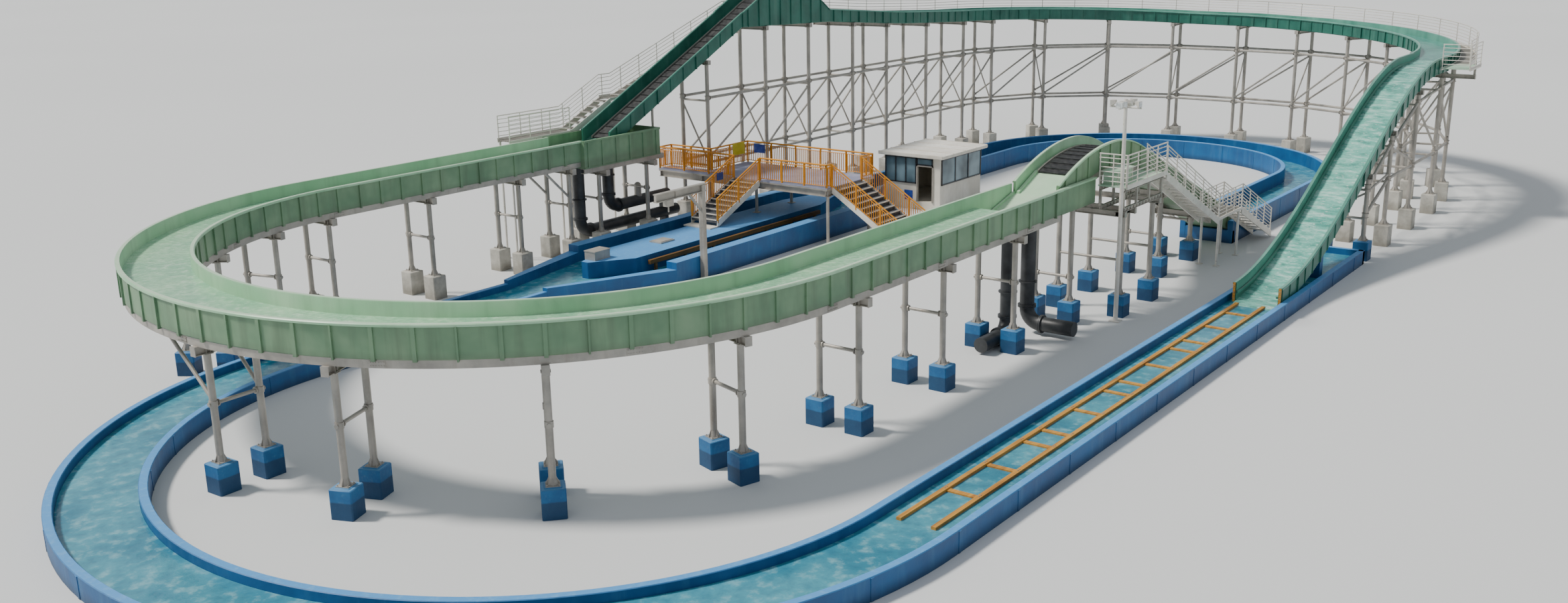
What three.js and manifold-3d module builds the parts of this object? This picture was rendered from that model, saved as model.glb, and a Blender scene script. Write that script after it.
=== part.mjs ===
// A splash water ride on steel supports, built as a 1:2 scale model.
// One conveyor climbs to a low flume, a second one to a high flume on a braced trestle, and a chute
// drops from there into a straight run-out trough that leads round to the station.
// Lengths below are metres of the real ride. X runs along the run-out, Y to its left, Z is up,
// with Z = 0 at the top of the blue concrete plinths.
import * as THREE from "three";
import { mergeVertices } from "three/addons/utils/BufferGeometryUtils.js";
import Module from "manifold-3d";

const wasm = await Module();
wasm.setup();

// Scale and common levels
const MODEL_MM_PER_METRE = 500;
const GROUND = -0.85;
const DECK_PLINTH_TOP = 0.12;
const SEAT_GAP = 0.001;

// Low flume: a level moulded channel with two straight runs and one half turn
const LOW_FRONT_Y = 24.2;
const LOW_TURN_RADIUS = 11.4;
const LOW_TURN_X = 33.25;
const LOW_TURN_Y = LOW_FRONT_Y + LOW_TURN_RADIUS;
const LOW_BACK_Y = LOW_TURN_Y + LOW_TURN_RADIUS;
const LOW_HALF = 1.05;
const LOW_TOP = 4.5;
const LOW_UNDERSIDE = 3.55;
const LOW_FRONT_END_X = 47;
const LOW_POST_SPREAD = 0.71;
const LOW_TIE_Z = 1.65;
const CHANNEL_WALL = 0.1;
const CHANNEL_FLOOR = 0.1;

// Sump: the deeper box at the end of the low flume, where the second conveyor starts
const SUMP_START_X = 45.9;
const SUMP_END_X = 50.9;
const SUMP_HALF = 1.27;
const SUMP_UNDERSIDE = 3.25;

// First conveyor: from the back loop over an arched crest to the low flume
const ARCH_PEAK_X = 51.5;
const ARCH_PEAK_TOP = 5.6;
const ARCH_RISE_RADIUS = 10.1;
const ARCH_FALL_RADIUS = 7;
const FIRST_LIFT_SLOPE = 0.42;
const FIRST_LIFT_HALF = 0.9;
const FIRST_LIFT_DEPTH = 0.95;
const FIRST_LIFT_BELT_DEPTH = 0.42;
const RAMP_START_X = 45.2;
const RAMP_MID_FLOOR = 4.15;
const FIRST_BELT_START_X = 48.4;
const BELT_HALF = 0.6;
const BELT_THICK = 0.06;

// Second conveyor: from the sump to the high crest
const SECOND_LIFT_SLOPE = 0.48;
const SECOND_LIFT_START_X = 47.95;
const SECOND_LIFT_START_TOP = 4.64;
const SECOND_LIFT_HALF = 0.9;
const SECOND_LIFT_DEPTH = 0.75;
const SECOND_LIFT_FLOOR = 0.1;
const SECOND_LIFT_WALL = 0.086;
const CREST_START_X = 57.8;
const CREST_BEND_X = 59;
const CREST_PEAK_X = 61.4;
const CREST_PEAK_TOP = 10.54;
const CREST_BELT_DEPTH = 0.45;

// High flume: from the crest of the second conveyor round two turns to the chute
const HIGH_Y = LOW_BACK_Y;
const HIGH_HALF = 0.95;
const HIGH_DEPTH = 0.7;
const HIGH_WALL = 0.09;
const HIGH_FLOOR = 0.08;
const HIGH_START_X = 65.3;
const HIGH_START_TOP = 9.1;
const FIRST_TURN_RADIUS = 11.4;
const FIRST_TURN_X = 79.6;
const FIRST_TURN_Y = HIGH_Y - FIRST_TURN_RADIUS;
const EAST_X = FIRST_TURN_X + FIRST_TURN_RADIUS;
const SECOND_TURN_RADIUS = 13.6;
const SECOND_TURN_X = EAST_X - SECOND_TURN_RADIUS;
const CHUTE_Y = 18.1;
const SECOND_TURN_Y = CHUTE_Y + SECOND_TURN_RADIUS;
const HIGH_END_TOP = 6.9;

// Chute: an S-shaped drop from the second turn into the run-out trough
const CHUTE_HALF = 0.88;
const CHUTE_DEPTH = 0.8;
const CHUTE_BRINK_X = 75;
const CHUTE_EASE_X = 53.2;
const CHUTE_FOOT_TOP = 0.3;
const PIER_X = 59;

// Blue water troughs
const TROUGH_HALF = 1.25;
const TROUGH_WALL = 0.25;
const TROUGH_FLOOR = 0.12;
const FLOOR_TOP = GROUND + TROUGH_FLOOR;
const RUN_OUT_Y = 18.2;
const RUN_OUT_END_X = 63.7;
const LOOP_TOP = -0.24;
const LOOP_RADIUS = 12.25;
const LOOP_X = 29;
const LOOP_Y = RUN_OUT_Y + LOOP_RADIUS;
const RETURN_Y = LOOP_Y + LOOP_RADIUS;
const BACK_LOOP_TOP = 0.2;
const BACK_LOOP_RADIUS = 9.1;
const BACK_LOOP_X = 77.5;
const BACK_LOOP_Y = LOW_FRONT_Y + BACK_LOOP_RADIUS;
const BACK_STRAIGHT_Y = BACK_LOOP_Y + BACK_LOOP_RADIUS;
const BACK_LOOP_END_X = 64.4;

// Ladder of timber rails on the floor of the run-out trough
const LADDER_START_X = 29.3;
const LADDER_END_X = 53.2;
const LADDER_RAILS_Y = [17.75, 18.75];
const LADDER_RAIL_TOP = -0.42;
const LADDER_MODULES_X = [31.6, 36.93, 42.26, 47.6];
const SLEEPER_PITCH = 2.1;

// Station: two lanes beside an island
const STATION_TOP = 0.2;
const ENTRY_TOP = -0.1;
const ENTRY_X = 39.2;
const STATION_START_X = 44.3;
const STATION_END_X = 58.6;
const EXIT_X = 63;
const STATION_NEAR_Y = 39.1;
const STATION_NEAR_LANE_Y = 39.65;
const STATION_FAR_LANE_Y = 44.8;
const STATION_FAR_Y = 45.4;
const ISLAND_NEAR_Y = 41.1;
const ISLAND_FAR_Y = 43.4;

// Platform over the station, with two stairs
const PLATFORM_X = [53.7, 57.6];
const PLATFORM_Y = [38.1, 45.8];
const PLATFORM_ARM_X = 54.7;
const PLATFORM_ARM_END_Y = 48.4;
const PLATFORM_TOP = 1.9;
const PLATFORM_SLAB = 0.12;
const PLATFORM_BEAM = 0.28;
const ISLAND_STAIR_Y = [42, 43.6];
const ISLAND_STAIR_FOOT_X = 50.5;
const DECK_STAIR_X = [54.1, 56.6];
const DECK_STAIR_FOOT_Y = 34.1;
const RAIL_HEIGHT = 1.1;

// Supports
const POST_RADIUS = 0.095;
const PLINTH = 0.65;
const BEAM_DEPTH = 0.26;
const BEAM_WIDTH = 0.2;
const GIRDER_DEPTH = 0.22;
const HIGH_POST_SPREAD = 0.82;
const HIGH_BEAM_DEPTH = 0.2;
const LOWER_PIPE_Z = 2.2;
const UPPER_PIPE_Z = 5.4;
const PIPE_RADIUS = 0.055;
const NODE_STEP = 0.22;
const TIE_STEP = 0.15;
const SEAT_INSET = 0.015;

// Walkways
const WALKWAY_DROP = 0.45;
const WALKWAY_SLAB = 0.1;
const WALKWAY_INNER = 1.0;
const WALKWAY_OUTER = 1.8;
const WALKWAY_RAIL = 1.15;
const WALKWAY_END_X = 75;
const WALKWAY_END_OUTER = 2.3;

const MINT = { color: 0x9cc79c, roughness: 0.45, metalness: 0 };
const TEAL = { color: 0x1f6358, roughness: 0.45, metalness: 0 };
const AQUA = { color: 0x62a596, roughness: 0.4, metalness: 0 };
const STEEL = { color: 0xb5aca0, roughness: 0.5, metalness: 0.4 };
const BLUE = { color: 0x2f7cc0, roughness: 0.55, metalness: 0 };
const OCHRE = { color: 0xcf9a3a, roughness: 0.7, metalness: 0 };
const ORANGE = { color: 0xd08a22, roughness: 0.5, metalness: 0.2 };
const RUBBER = { color: 0x1c1c1e, roughness: 0.85, metalness: 0 };
const PALE_RAIL = { color: 0xd5cfc4, roughness: 0.45, metalness: 0.3 };
const BLACK_PIPE = { color: 0x2b2d30, roughness: 0.5, metalness: 0 };
const CREAM = { color: 0xdad6cc, roughness: 0.6, metalness: 0 };

const degrees = Math.PI / 180;
const slide = new THREE.Group();
slide.name = "water_slide_tower";

const valueAt = (value, station) => (typeof value === "function" ? value(station) : value);

// A closed three.js geometry as a solid that can be joined and cut.
function solid(geometry, frame) {
  if (frame) geometry.applyMatrix4(frame);
  geometry.deleteAttribute("normal");
  geometry.deleteAttribute("uv");
  const merged = mergeVertices(geometry, 1e-4);
  return new wasm.Manifold(
    new wasm.Mesh({
      numProp: 3,
      vertProperties: merged.attributes.position.array,
      triVerts: new Uint32Array(merged.index.array),
    }),
  );
}

// The frame of a place on the plan: local X ahead, local Y to the left.
function frameOf(place) {
  return new THREE.Matrix4().makeRotationZ(place.heading).setPosition(place.x, place.y, 0);
}

// A box from corner to corner, whose corners are exactly the values given.
function block([x0, x1], [y0, y1], [z0, z1], frame) {
  const box = new THREE.BoxGeometry(1, 1, 1);
  const spots = box.attributes.position;
  for (let i = 0; i < spots.count; i++) {
    const [right, far, up] = [spots.getX(i) > 0, spots.getY(i) > 0, spots.getZ(i) > 0];
    spots.setXYZ(i, right ? x1 : x0, far ? y1 : y0, up ? z1 : z0);
  }
  return solid(box, frame);
}

// An upright solid on an outline of plan points.
function prism(points, [z0, z1]) {
  const outline = new THREE.Shape(points.map(([x, y]) => new THREE.Vector2(x, y)));
  const body = new THREE.ExtrudeGeometry(outline, { depth: z1 - z0, bevelEnabled: false });
  body.translate(0, 0, z0);
  return solid(body);
}

// A round or few-sided bar between two points.
function bar(from, to, radius, sides = 4, frame = null) {
  const a = new THREE.Vector3(...from);
  const b = new THREE.Vector3(...to);
  const along = b.clone().sub(a);
  const rod = new THREE.CylinderGeometry(radius, radius, along.length(), sides);
  if (sides > 4) rod.rotateY(10 * degrees);
  rod.applyQuaternion(
    new THREE.Quaternion().setFromUnitVectors(new THREE.Vector3(0, 1, 0), along.normalize()),
  );
  rod.translate((a.x + b.x) / 2, (a.y + b.y) / 2, (a.z + b.z) / 2);
  return solid(rod, frame);
}

// A pipe from one point to another by way of a mitred elbow.
function elbowPipe(from, corner, to, radius, bend, sides = 7) {
  const [a, b, c] = [from, corner, to].map((point) => new THREE.Vector3(...point));
  const before = b.clone().add(a.clone().sub(b).setLength(bend));
  const after = b.clone().add(c.clone().sub(b).setLength(bend));
  const overlap = (p, q) => q.clone().add(q.clone().sub(p).setLength(radius * 0.4)).toArray();
  return [
    bar(a.toArray(), overlap(a, before), radius, sides),
    bar(overlap(after, before), overlap(before, after), radius, sides),
    bar(overlap(c, after), c.toArray(), radius, sides),
  ];
}

// Numbers from mark to mark, in steps no longer than the one given.
function walk(marks, step = Infinity) {
  const values = [marks[0]];
  for (let i = 1; i < marks.length; i++) {
    const span = marks[i] - marks[i - 1];
    const parts = Math.max(1, Math.ceil(Math.abs(span) / step - 1e-6));
    for (let k = 1; k <= parts; k++) values.push(marks[i - 1] + (span * k) / parts);
  }
  return values;
}

// A place on a circle of the plan, passed clockwise as its angle falls.
function onCircle(x, y, radius, angle) {
  return {
    x: x + radius * Math.cos(angle * degrees),
    y: y + radius * Math.sin(angle * degrees),
    heading: (angle - 90) * degrees,
  };
}

function shifted(place, ahead, left = 0) {
  const [c, s] = [Math.cos(place.heading), Math.sin(place.heading)];
  return { ...place, x: place.x + ahead * c - left * s, y: place.y + ahead * s + left * c };
}

// Where two lengths of a route meet they keep the seat gap, as a bolted flange does.
function trimmed(stations, trim = SEAT_GAP / 2) {
  const last = stations.length - 1;
  return stations.map((s, i) => (i === 0 ? shifted(s, trim) : i === last ? shifted(s, -trim) : s));
}

// A long box bent along stations, between two offsets to the left and two heights.
// Offsets and heights are numbers or functions of a station.
function strip(stations, [right, left], [bottom, top]) {
  const last = stations.length - 1;
  const box = new THREE.BoxGeometry(1, 1, 1, last, 1, 1);
  const spots = box.attributes.position;
  for (let i = 0; i < spots.count; i++) {
    const station = stations[Math.round((spots.getX(i) + 0.5) * last)];
    const place = shifted(station, 0, valueAt(spots.getY(i) > 0 ? left : right, station));
    spots.setXYZ(i, place.x, place.y, valueAt(spots.getZ(i) > 0 ? top : bottom, station));
  }
  return solid(box);
}

// A channel open at the top and at both ends, cut right through past its ends.
const CUT_PAST = 0.01;
function channel(stations, { half, wall, top, bottom, floor }) {
  const outer = strip(stations, [-half, half], [bottom, top]);
  const ends = [shifted(stations[0], -CUT_PAST), shifted(stations.at(-1), CUT_PAST)];
  const through = [ends[0], ...stations.slice(1, -1), ends[1]];
  const inner = strip(through, [wall - half, half - wall], [floor, (s) => valueAt(top, s) + 0.3]);
  return outer.subtract(inner);
}

function piece(name, solids, look) {
  const mesh = wasm.Manifold.union(solids).getMesh();
  const geometry = new THREE.BufferGeometry();
  geometry.setAttribute("position", new THREE.BufferAttribute(mesh.vertProperties, 3));
  geometry.setIndex(new THREE.BufferAttribute(mesh.triVerts, 1));
  geometry.computeVertexNormals();
  const body = new THREE.Mesh(geometry, new THREE.MeshStandardMaterial(look));
  body.name = name;
  slide.add(body);
}

// Straight-line heights through pairs of run and height.
function grade(points) {
  return (run) => {
    const next = Math.max(1, points.findIndex(([at]) => at >= run));
    const [[r0, z0], [r1, z1]] = [points[next - 1], points[next]];
    return z0 + ((z1 - z0) * (run - r0)) / (r1 - r0);
  };
}

// A post on its plinth: six-sided, or square where many braces meet it.
function post(frame, side, [plinthTop, top], square = false) {
  const half = PLINTH / 2;
  const slim = POST_RADIUS * 0.9;
  const heights = [plinthTop - 0.1, top];
  return [
    square
      ? block([-slim, slim], [side - slim, side + slim], heights, frame)
      : bar([0, side, heights[0]], [0, side, top], POST_RADIUS, 6, frame),
    block([-half, half], [side - half, side + half], [GROUND, plinthTop], frame),
  ];
}

// A pair of posts with a crossbeam over them and a tie between them.
function bent(place, { spread, beamTop, plinthTop, reach, tie }) {
  const frame = frameOf(place);
  const parts = [-spread, spread].flatMap((side) =>
    post(frame, side, [plinthTop, beamTop - BEAM_DEPTH / 2]),
  );
  const beamHeights = [beamTop - BEAM_DEPTH, beamTop];
  parts.push(block([-BEAM_WIDTH / 2, BEAM_WIDTH / 2], [-reach, reach], beamHeights, frame));
  if (tie) parts.push(bar([0, -spread, tie], [0, spread, tie], PIPE_RADIUS, 4, frame));
  return parts;
}

// Two edge girders under a channel.
function girders(stations, half, underside) {
  const top = (s) => valueAt(underside, s) - SEAT_GAP;
  const heights = [(s) => top(s) - GIRDER_DEPTH, top];
  return [
    strip(stations, [half - 0.28, half - 0.04], heights),
    strip(stations, [0.04 - half, 0.28 - half], heights),
  ];
}

// A railing along stations: a top rail on square posts, with a post at both ends.
function railing(stations, offset, deck, height, pitch = 2) {
  const [thick, slim] = [0.05, 0.04];
  const heights = [(s) => valueAt(deck, s) + height - thick, (s) => valueAt(deck, s) + height];
  const parts = [strip(stations, [offset - thick / 2, offset + thick / 2], heights)];
  const last = stations.length - 1;
  let due = 0;
  stations.forEach((s, i) => {
    const before = stations[i - 1] ?? s;
    due -= Math.hypot(s.x - before.x, s.y - before.y);
    if (due > 0.3 && i < last) return;
    const inset = i === 0 ? thick / 2 : i === last ? -thick / 2 : 0;
    const frame = frameOf(shifted(s, inset));
    const foot = valueAt(deck, s);
    const span = [offset - slim / 2, offset + slim / 2];
    parts.push(block([-slim / 2, slim / 2], span, [foot, foot + height - thick / 2], frame));
    due = pitch;
  });
  return parts;
}

// A straight stair going down from a place: a stepped slab with a level line of nosings.
const STAIR_DEPTH = 0.28;
function flight(from, [topZ, footZ], length, width, treads) {
  const [going, rise] = [length / treads, (topZ - footZ) / treads];
  const outline = [new THREE.Vector2(0, topZ - STAIR_DEPTH)];
  for (let i = 0; i < treads; i++) {
    const z = topZ - rise * (i + 0.5);
    outline.push(new THREE.Vector2(going * i, z), new THREE.Vector2(going * (i + 1), z));
  }
  outline.push(new THREE.Vector2(length, footZ - STAIR_DEPTH));
  const side = new THREE.Shape(outline);
  const body = new THREE.ExtrudeGeometry(side, { depth: width, bevelEnabled: false });
  body.translate(0, 0, -width / 2);
  body.rotateX(Math.PI / 2);
  return [solid(body, frameOf(from))];
}

// Low flume
const onLowFront = (x) => ({ x, y: LOW_FRONT_Y, heading: Math.PI });
const onLowTurn = (angle) => onCircle(LOW_TURN_X, LOW_TURN_Y, LOW_TURN_RADIUS, angle);
const onLowBack = (x) => ({ x, y: LOW_BACK_Y, heading: 0 });
const TURN_STEP = 11;

const lowSection = {
  half: LOW_HALF,
  wall: CHANNEL_WALL,
  top: LOW_TOP,
  bottom: LOW_UNDERSIDE,
  floor: LOW_UNDERSIDE + CHANNEL_FLOOR,
};

function lowRun(name, stations, places, plinthTops, extras = []) {
  piece(`low_channel_${name}`, [channel(stations, lowSection), ...extras], MINT);
  const bents = places.flatMap((place, i) =>
    bent(place, {
      spread: LOW_POST_SPREAD,
      beamTop: LOW_UNDERSIDE - GIRDER_DEPTH,
      plinthTop: plinthTops[i],
      reach: LOW_HALF + 0.05,
      tie: LOW_TIE_Z,
    }),
  );
  piece(`low_frame_${name}`, [...girders(stations, LOW_HALF, LOW_UNDERSIDE), ...bents], STEEL);
}

const RAMP_HALF = 0.85;
const RAMP_LAP = 0.02;
const NEAR_WALL_END_X = 49.75;
const rampStations = [RAMP_START_X, LOW_FRONT_END_X - SEAT_GAP].map((x) => ({
  x,
  y: LOW_FRONT_Y,
  heading: 0,
}));
const rampTop = (s) => (s.x > RAMP_START_X ? RAMP_MID_FLOOR : lowSection.floor + RAMP_LAP);
const nearWallY = LOW_FRONT_Y - LOW_HALF;
const frontExtras = [
  strip(rampStations, [-RAMP_HALF, RAMP_HALF], [lowSection.floor - RAMP_LAP, rampTop]),
  block(
    [LOW_FRONT_END_X - CHANNEL_WALL, NEAR_WALL_END_X],
    [nearWallY, nearWallY + CHANNEL_WALL],
    [LOW_UNDERSIDE, LOW_TOP],
  ),
];
lowRun(
  "front",
  trimmed([LOW_FRONT_END_X, LOW_TURN_X].map(onLowFront)),
  [44.2, 39.4, 34.6].map(onLowFront),
  [0, 0, 0],
  frontExtras,
);
lowRun(
  "turn",
  trimmed(walk([-90, -270], TURN_STEP).map(onLowTurn)),
  [-106.8, -131.9, -157.5, -178, -235, -254, -268].map(onLowTurn),
  [0, 0, 0, 0, 0, DECK_PLINTH_TOP, DECK_PLINTH_TOP],
);
lowRun(
  "back",
  trimmed([LOW_TURN_X, SUMP_START_X].map(onLowBack)),
  [37.6, 42.4, 45.4].map(onLowBack),
  [DECK_PLINTH_TOP, DECK_PLINTH_TOP, DECK_PLINTH_TOP],
);

// Second conveyor's heights
const secondTop = (x) => {
  const line = SECOND_LIFT_START_TOP + SECOND_LIFT_SLOPE * (x - SECOND_LIFT_START_X);
  if (x <= CREST_BEND_X) return line;
  const near = x < CREST_PEAK_X ? CREST_BEND_X : HIGH_START_X;
  const nearTop = x < CREST_PEAK_X
    ? SECOND_LIFT_START_TOP + SECOND_LIFT_SLOPE * (CREST_BEND_X - SECOND_LIFT_START_X)
    : HIGH_START_TOP;
  const away = (CREST_PEAK_X - x) / (CREST_PEAK_X - near);
  return CREST_PEAK_TOP - (CREST_PEAK_TOP - nearTop) * away * away;
};
const crestFloorDepth = grade([
  [CREST_BEND_X, SECOND_LIFT_DEPTH - SECOND_LIFT_FLOOR],
  [CREST_PEAK_X, CREST_BELT_DEPTH],
  [HIGH_START_X, HIGH_DEPTH - HIGH_FLOOR],
]);
const secondFloor = (x) =>
  x < CREST_BEND_X
    ? secondTop(x) - SECOND_LIFT_DEPTH + SECOND_LIFT_FLOOR
    : secondTop(x) - crestFloorDepth(x);
const crestUnder = grade([
  [CREST_START_X, secondTop(CREST_START_X) - SECOND_LIFT_DEPTH],
  [HIGH_START_X, HIGH_START_TOP - HIGH_DEPTH],
]);
const onSecondLift = (x) => ({ x, y: HIGH_Y, heading: 0 });

// Sump with its frame, which also carries the foot of the second conveyor
const sumpInner = block(
  [SUMP_START_X + CHANNEL_WALL, SUMP_END_X - CHANNEL_WALL],
  [HIGH_Y - SUMP_HALF + CHANNEL_WALL, HIGH_Y + SUMP_HALF - CHANNEL_WALL],
  [SUMP_UNDERSIDE + CHANNEL_FLOOR, LOW_TOP + 1],
);
const sumpInlet = block(
  [SUMP_START_X - 1, SUMP_START_X + 1],
  [HIGH_Y - LOW_HALF + CHANNEL_WALL, HIGH_Y + LOW_HALF - CHANNEL_WALL],
  [lowSection.floor, LOW_TOP + 1],
);
const sumpBox = block(
  [SUMP_START_X, SUMP_END_X],
  [HIGH_Y - SUMP_HALF, HIGH_Y + SUMP_HALF],
  [SUMP_UNDERSIDE, LOW_TOP],
);
piece("sump", [sumpBox.subtract(sumpInner).subtract(sumpInlet)], MINT);

const SUMP_FRAME_END_X = 51.2;
const STOOL_X = 51.08;
const STOOL_HALF = 0.08;
const STOOL_REACH = 1.2;
const STOOL_SPREAD = 0.7;
const STOOL_LEG_HALF = 0.06;
const stoolTop = secondTop(STOOL_X - STOOL_HALF) - SECOND_LIFT_DEPTH - SEAT_GAP;
const sumpStations = [SUMP_START_X, SUMP_FRAME_END_X].map(onSecondLift);
const sumpFrame = girders(sumpStations, SUMP_HALF, SUMP_UNDERSIDE);
for (const x of [47.3, 50.5]) {
  sumpFrame.push(
    ...bent(onSecondLift(x), {
      spread: LOW_POST_SPREAD,
      beamTop: SUMP_UNDERSIDE - GIRDER_DEPTH,
      plinthTop: DECK_PLINTH_TOP,
      reach: SUMP_HALF + 0.05,
      tie: LOW_TIE_Z,
    }),
  );
}
const stoolDeck = SUMP_UNDERSIDE - GIRDER_DEPTH;
const stoolX = [STOOL_X - STOOL_HALF, STOOL_X + STOOL_HALF];
const stoolY = [HIGH_Y - STOOL_REACH, HIGH_Y + STOOL_REACH];
sumpFrame.push(block(stoolX, stoolY, [stoolDeck, stoolDeck + HIGH_BEAM_DEPTH]));
for (const y of [HIGH_Y - STOOL_SPREAD, HIGH_Y + STOOL_SPREAD]) {
  sumpFrame.push(block(stoolX, [y - STOOL_LEG_HALF, y + STOOL_LEG_HALF], [stoolDeck, stoolTop]));
}
piece("sump_frame", sumpFrame, STEEL);

// Second conveyor and its crest
piece(
  "second_lift_channel",
  [
    channel(trimmed([SECOND_LIFT_START_X, CREST_START_X].map(onSecondLift)), {
      half: SECOND_LIFT_HALF,
      wall: SECOND_LIFT_WALL,
      top: (s) => secondTop(s.x),
      bottom: (s) => secondTop(s.x) - SECOND_LIFT_DEPTH,
      floor: (s) => secondTop(s.x) - SECOND_LIFT_DEPTH + SECOND_LIFT_FLOOR,
    }),
  ],
  TEAL,
);
const crestXs = walk([CREST_START_X, CREST_BEND_X, CREST_PEAK_X, HIGH_START_X], 0.8);
const crestSection = {
  half: HIGH_HALF,
  wall: CHANNEL_WALL,
  top: (s) => secondTop(s.x),
  bottom: (s) => crestUnder(s.x),
  floor: (s) => secondFloor(s.x),
};
piece("crest_channel", [channel(trimmed(crestXs.map(onSecondLift)), crestSection)], TEAL);
const beltXs = [SECOND_LIFT_START_X + 0.4, ...crestXs.filter((x) => x <= CREST_PEAK_X + 0.01)];
piece(
  "second_lift_belt",
  [
    strip(beltXs.map(onSecondLift), [-BELT_HALF, BELT_HALF], [
      (s) => secondFloor(s.x) + SEAT_GAP,
      (s) => secondFloor(s.x) + SEAT_GAP + BELT_THICK,
    ]),
  ],
  RUBBER,
);

// High flume's route, each place with the distance run from the crest
const FIRST_TURN_RUN = FIRST_TURN_X - HIGH_START_X;
const EAST_RUN = FIRST_TURN_RUN + 90 * degrees * FIRST_TURN_RADIUS;
const SECOND_TURN_RUN = EAST_RUN + FIRST_TURN_Y - SECOND_TURN_Y;
const HIGH_END_RUN = SECOND_TURN_RUN + 90 * degrees * SECOND_TURN_RADIUS;
const onNorth = (x) => ({ x, y: HIGH_Y, heading: 0, run: x - HIGH_START_X });
const onFirstTurn = (angle) => ({
  ...onCircle(FIRST_TURN_X, FIRST_TURN_Y, FIRST_TURN_RADIUS, angle),
  run: FIRST_TURN_RUN + (90 - angle) * degrees * FIRST_TURN_RADIUS,
});
const onEast = (y) => ({ x: EAST_X, y, heading: -Math.PI / 2, run: EAST_RUN + FIRST_TURN_Y - y });
const onSecondTurn = (angle) => ({
  ...onCircle(SECOND_TURN_X, SECOND_TURN_Y, SECOND_TURN_RADIUS, angle),
  run: SECOND_TURN_RUN - angle * degrees * SECOND_TURN_RADIUS,
});
const onChute = (x) => ({ x, y: CHUTE_Y, heading: Math.PI, run: HIGH_END_RUN + SECOND_TURN_X - x });

const highGrade = grade([
  [0, HIGH_START_TOP],
  [onNorth(72.7).run, 8.5],
  [FIRST_TURN_RUN, 8.15],
  [EAST_RUN, 7.65],
  [SECOND_TURN_RUN, 7.6],
  [HIGH_END_RUN, HIGH_END_TOP],
]);
const smooth = (t) => t * t * (3 - 2 * t);
const chuteBentXs = [76.3, 72, 67.8, 64.5];
const chuteXs = walk([SECOND_TURN_X, ...chuteBentXs, CHUTE_EASE_X + 0.2], 1.6);
const chuteTop = grade(
  chuteXs.toReversed().map((x) => {
    const t = Math.min(1, (x - CHUTE_EASE_X) / (CHUTE_BRINK_X - CHUTE_EASE_X));
    return [x, CHUTE_FOOT_TOP + (HIGH_END_TOP - CHUTE_FOOT_TOP) * smooth(t)];
  }),
);
const highTop = (s) => (s.run > HIGH_END_RUN ? chuteTop(s.x) : highGrade(s.run));
const highDepth = (s) => (s.run > HIGH_END_RUN ? CHUTE_DEPTH : HIGH_DEPTH);
const highUnder = (s) => highTop(s) - highDepth(s);

const highSection = {
  half: HIGH_HALF,
  wall: HIGH_WALL,
  top: highTop,
  bottom: (s) => highTop(s) - HIGH_DEPTH,
  floor: (s) => highTop(s) - HIGH_DEPTH + HIGH_FLOOR,
};
const crestBentXs = [55, 59.7, 63.5];
const northBentXs = [67.7, 71.2, 75.6];
const firstTurnBents = [87.5, 72, 50, 27, 5];
const eastBentY = 32.3;
const secondTurnBents = [-14.5, -31, -47, -64, -80];

const northStations = trimmed([HIGH_START_X, 72.7, FIRST_TURN_X].map(onNorth));
const firstTurnStations = trimmed(walk([90, ...firstTurnBents, 0], TURN_STEP).map(onFirstTurn));
const eastStations = [FIRST_TURN_Y, SECOND_TURN_Y].map(onEast);
const secondTurnStations = walk([0, ...secondTurnBents, -90], TURN_STEP).slice(1).map(onSecondTurn);
const eastToChute = trimmed([...eastStations, ...secondTurnStations]);
const chuteStations = trimmed(chuteXs.map(onChute));

piece("high_channel_north", [channel(northStations, highSection)], TEAL);
piece("high_channel_first_turn", [channel(firstTurnStations, highSection)], TEAL);
piece("high_channel_second_turn", [channel(eastToChute, highSection)], TEAL);
piece(
  "chute_channel",
  [
    channel(chuteStations, {
      half: CHUTE_HALF,
      wall: HIGH_WALL,
      top: (s) => chuteTop(s.x),
      bottom: (s) => chuteTop(s.x) - CHUTE_DEPTH,
      floor: (s) => chuteTop(s.x) - CHUTE_DEPTH + HIGH_FLOOR,
    }),
  ],
  AQUA,
);
const PIER_HALF = 0.2;
const pierUnders = [PIER_X - PIER_HALF, PIER_X + PIER_HALF].map((x) => chuteTop(x) - CHUTE_DEPTH);
const pierTop = Math.min(...pierUnders) - SEAT_GAP;

// High walkway, on the outer side of the high flume
const RAIL_SUNK = 0.02;
const RAIL_INSET = 0.04;
const WALKWAY_POST_PITCH = 2.8;
const walkwayDeck = (s) => highTop(s) - WALKWAY_DROP;
function walkway(name, stations, extras = []) {
  const slabHeights = [(s) => walkwayDeck(s) - WALKWAY_SLAB, walkwayDeck];
  const slab = strip(stations, [WALKWAY_INNER, WALKWAY_OUTER], slabHeights);
  const railFoot = (s) => walkwayDeck(s) - RAIL_SUNK;
  const offset = WALKWAY_OUTER - RAIL_INSET;
  const rails = railing(stations, offset, railFoot, WALKWAY_RAIL, WALKWAY_POST_PITCH);
  piece(name, [slab, ...rails, ...extras], PALE_RAIL);
}
const endDeck = HIGH_END_TOP - WALKWAY_DROP;
const endSpan = [CHUTE_Y - WALKWAY_END_OUTER, CHUTE_Y - WALKWAY_INNER];
const END_LAP = 0.1;
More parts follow.
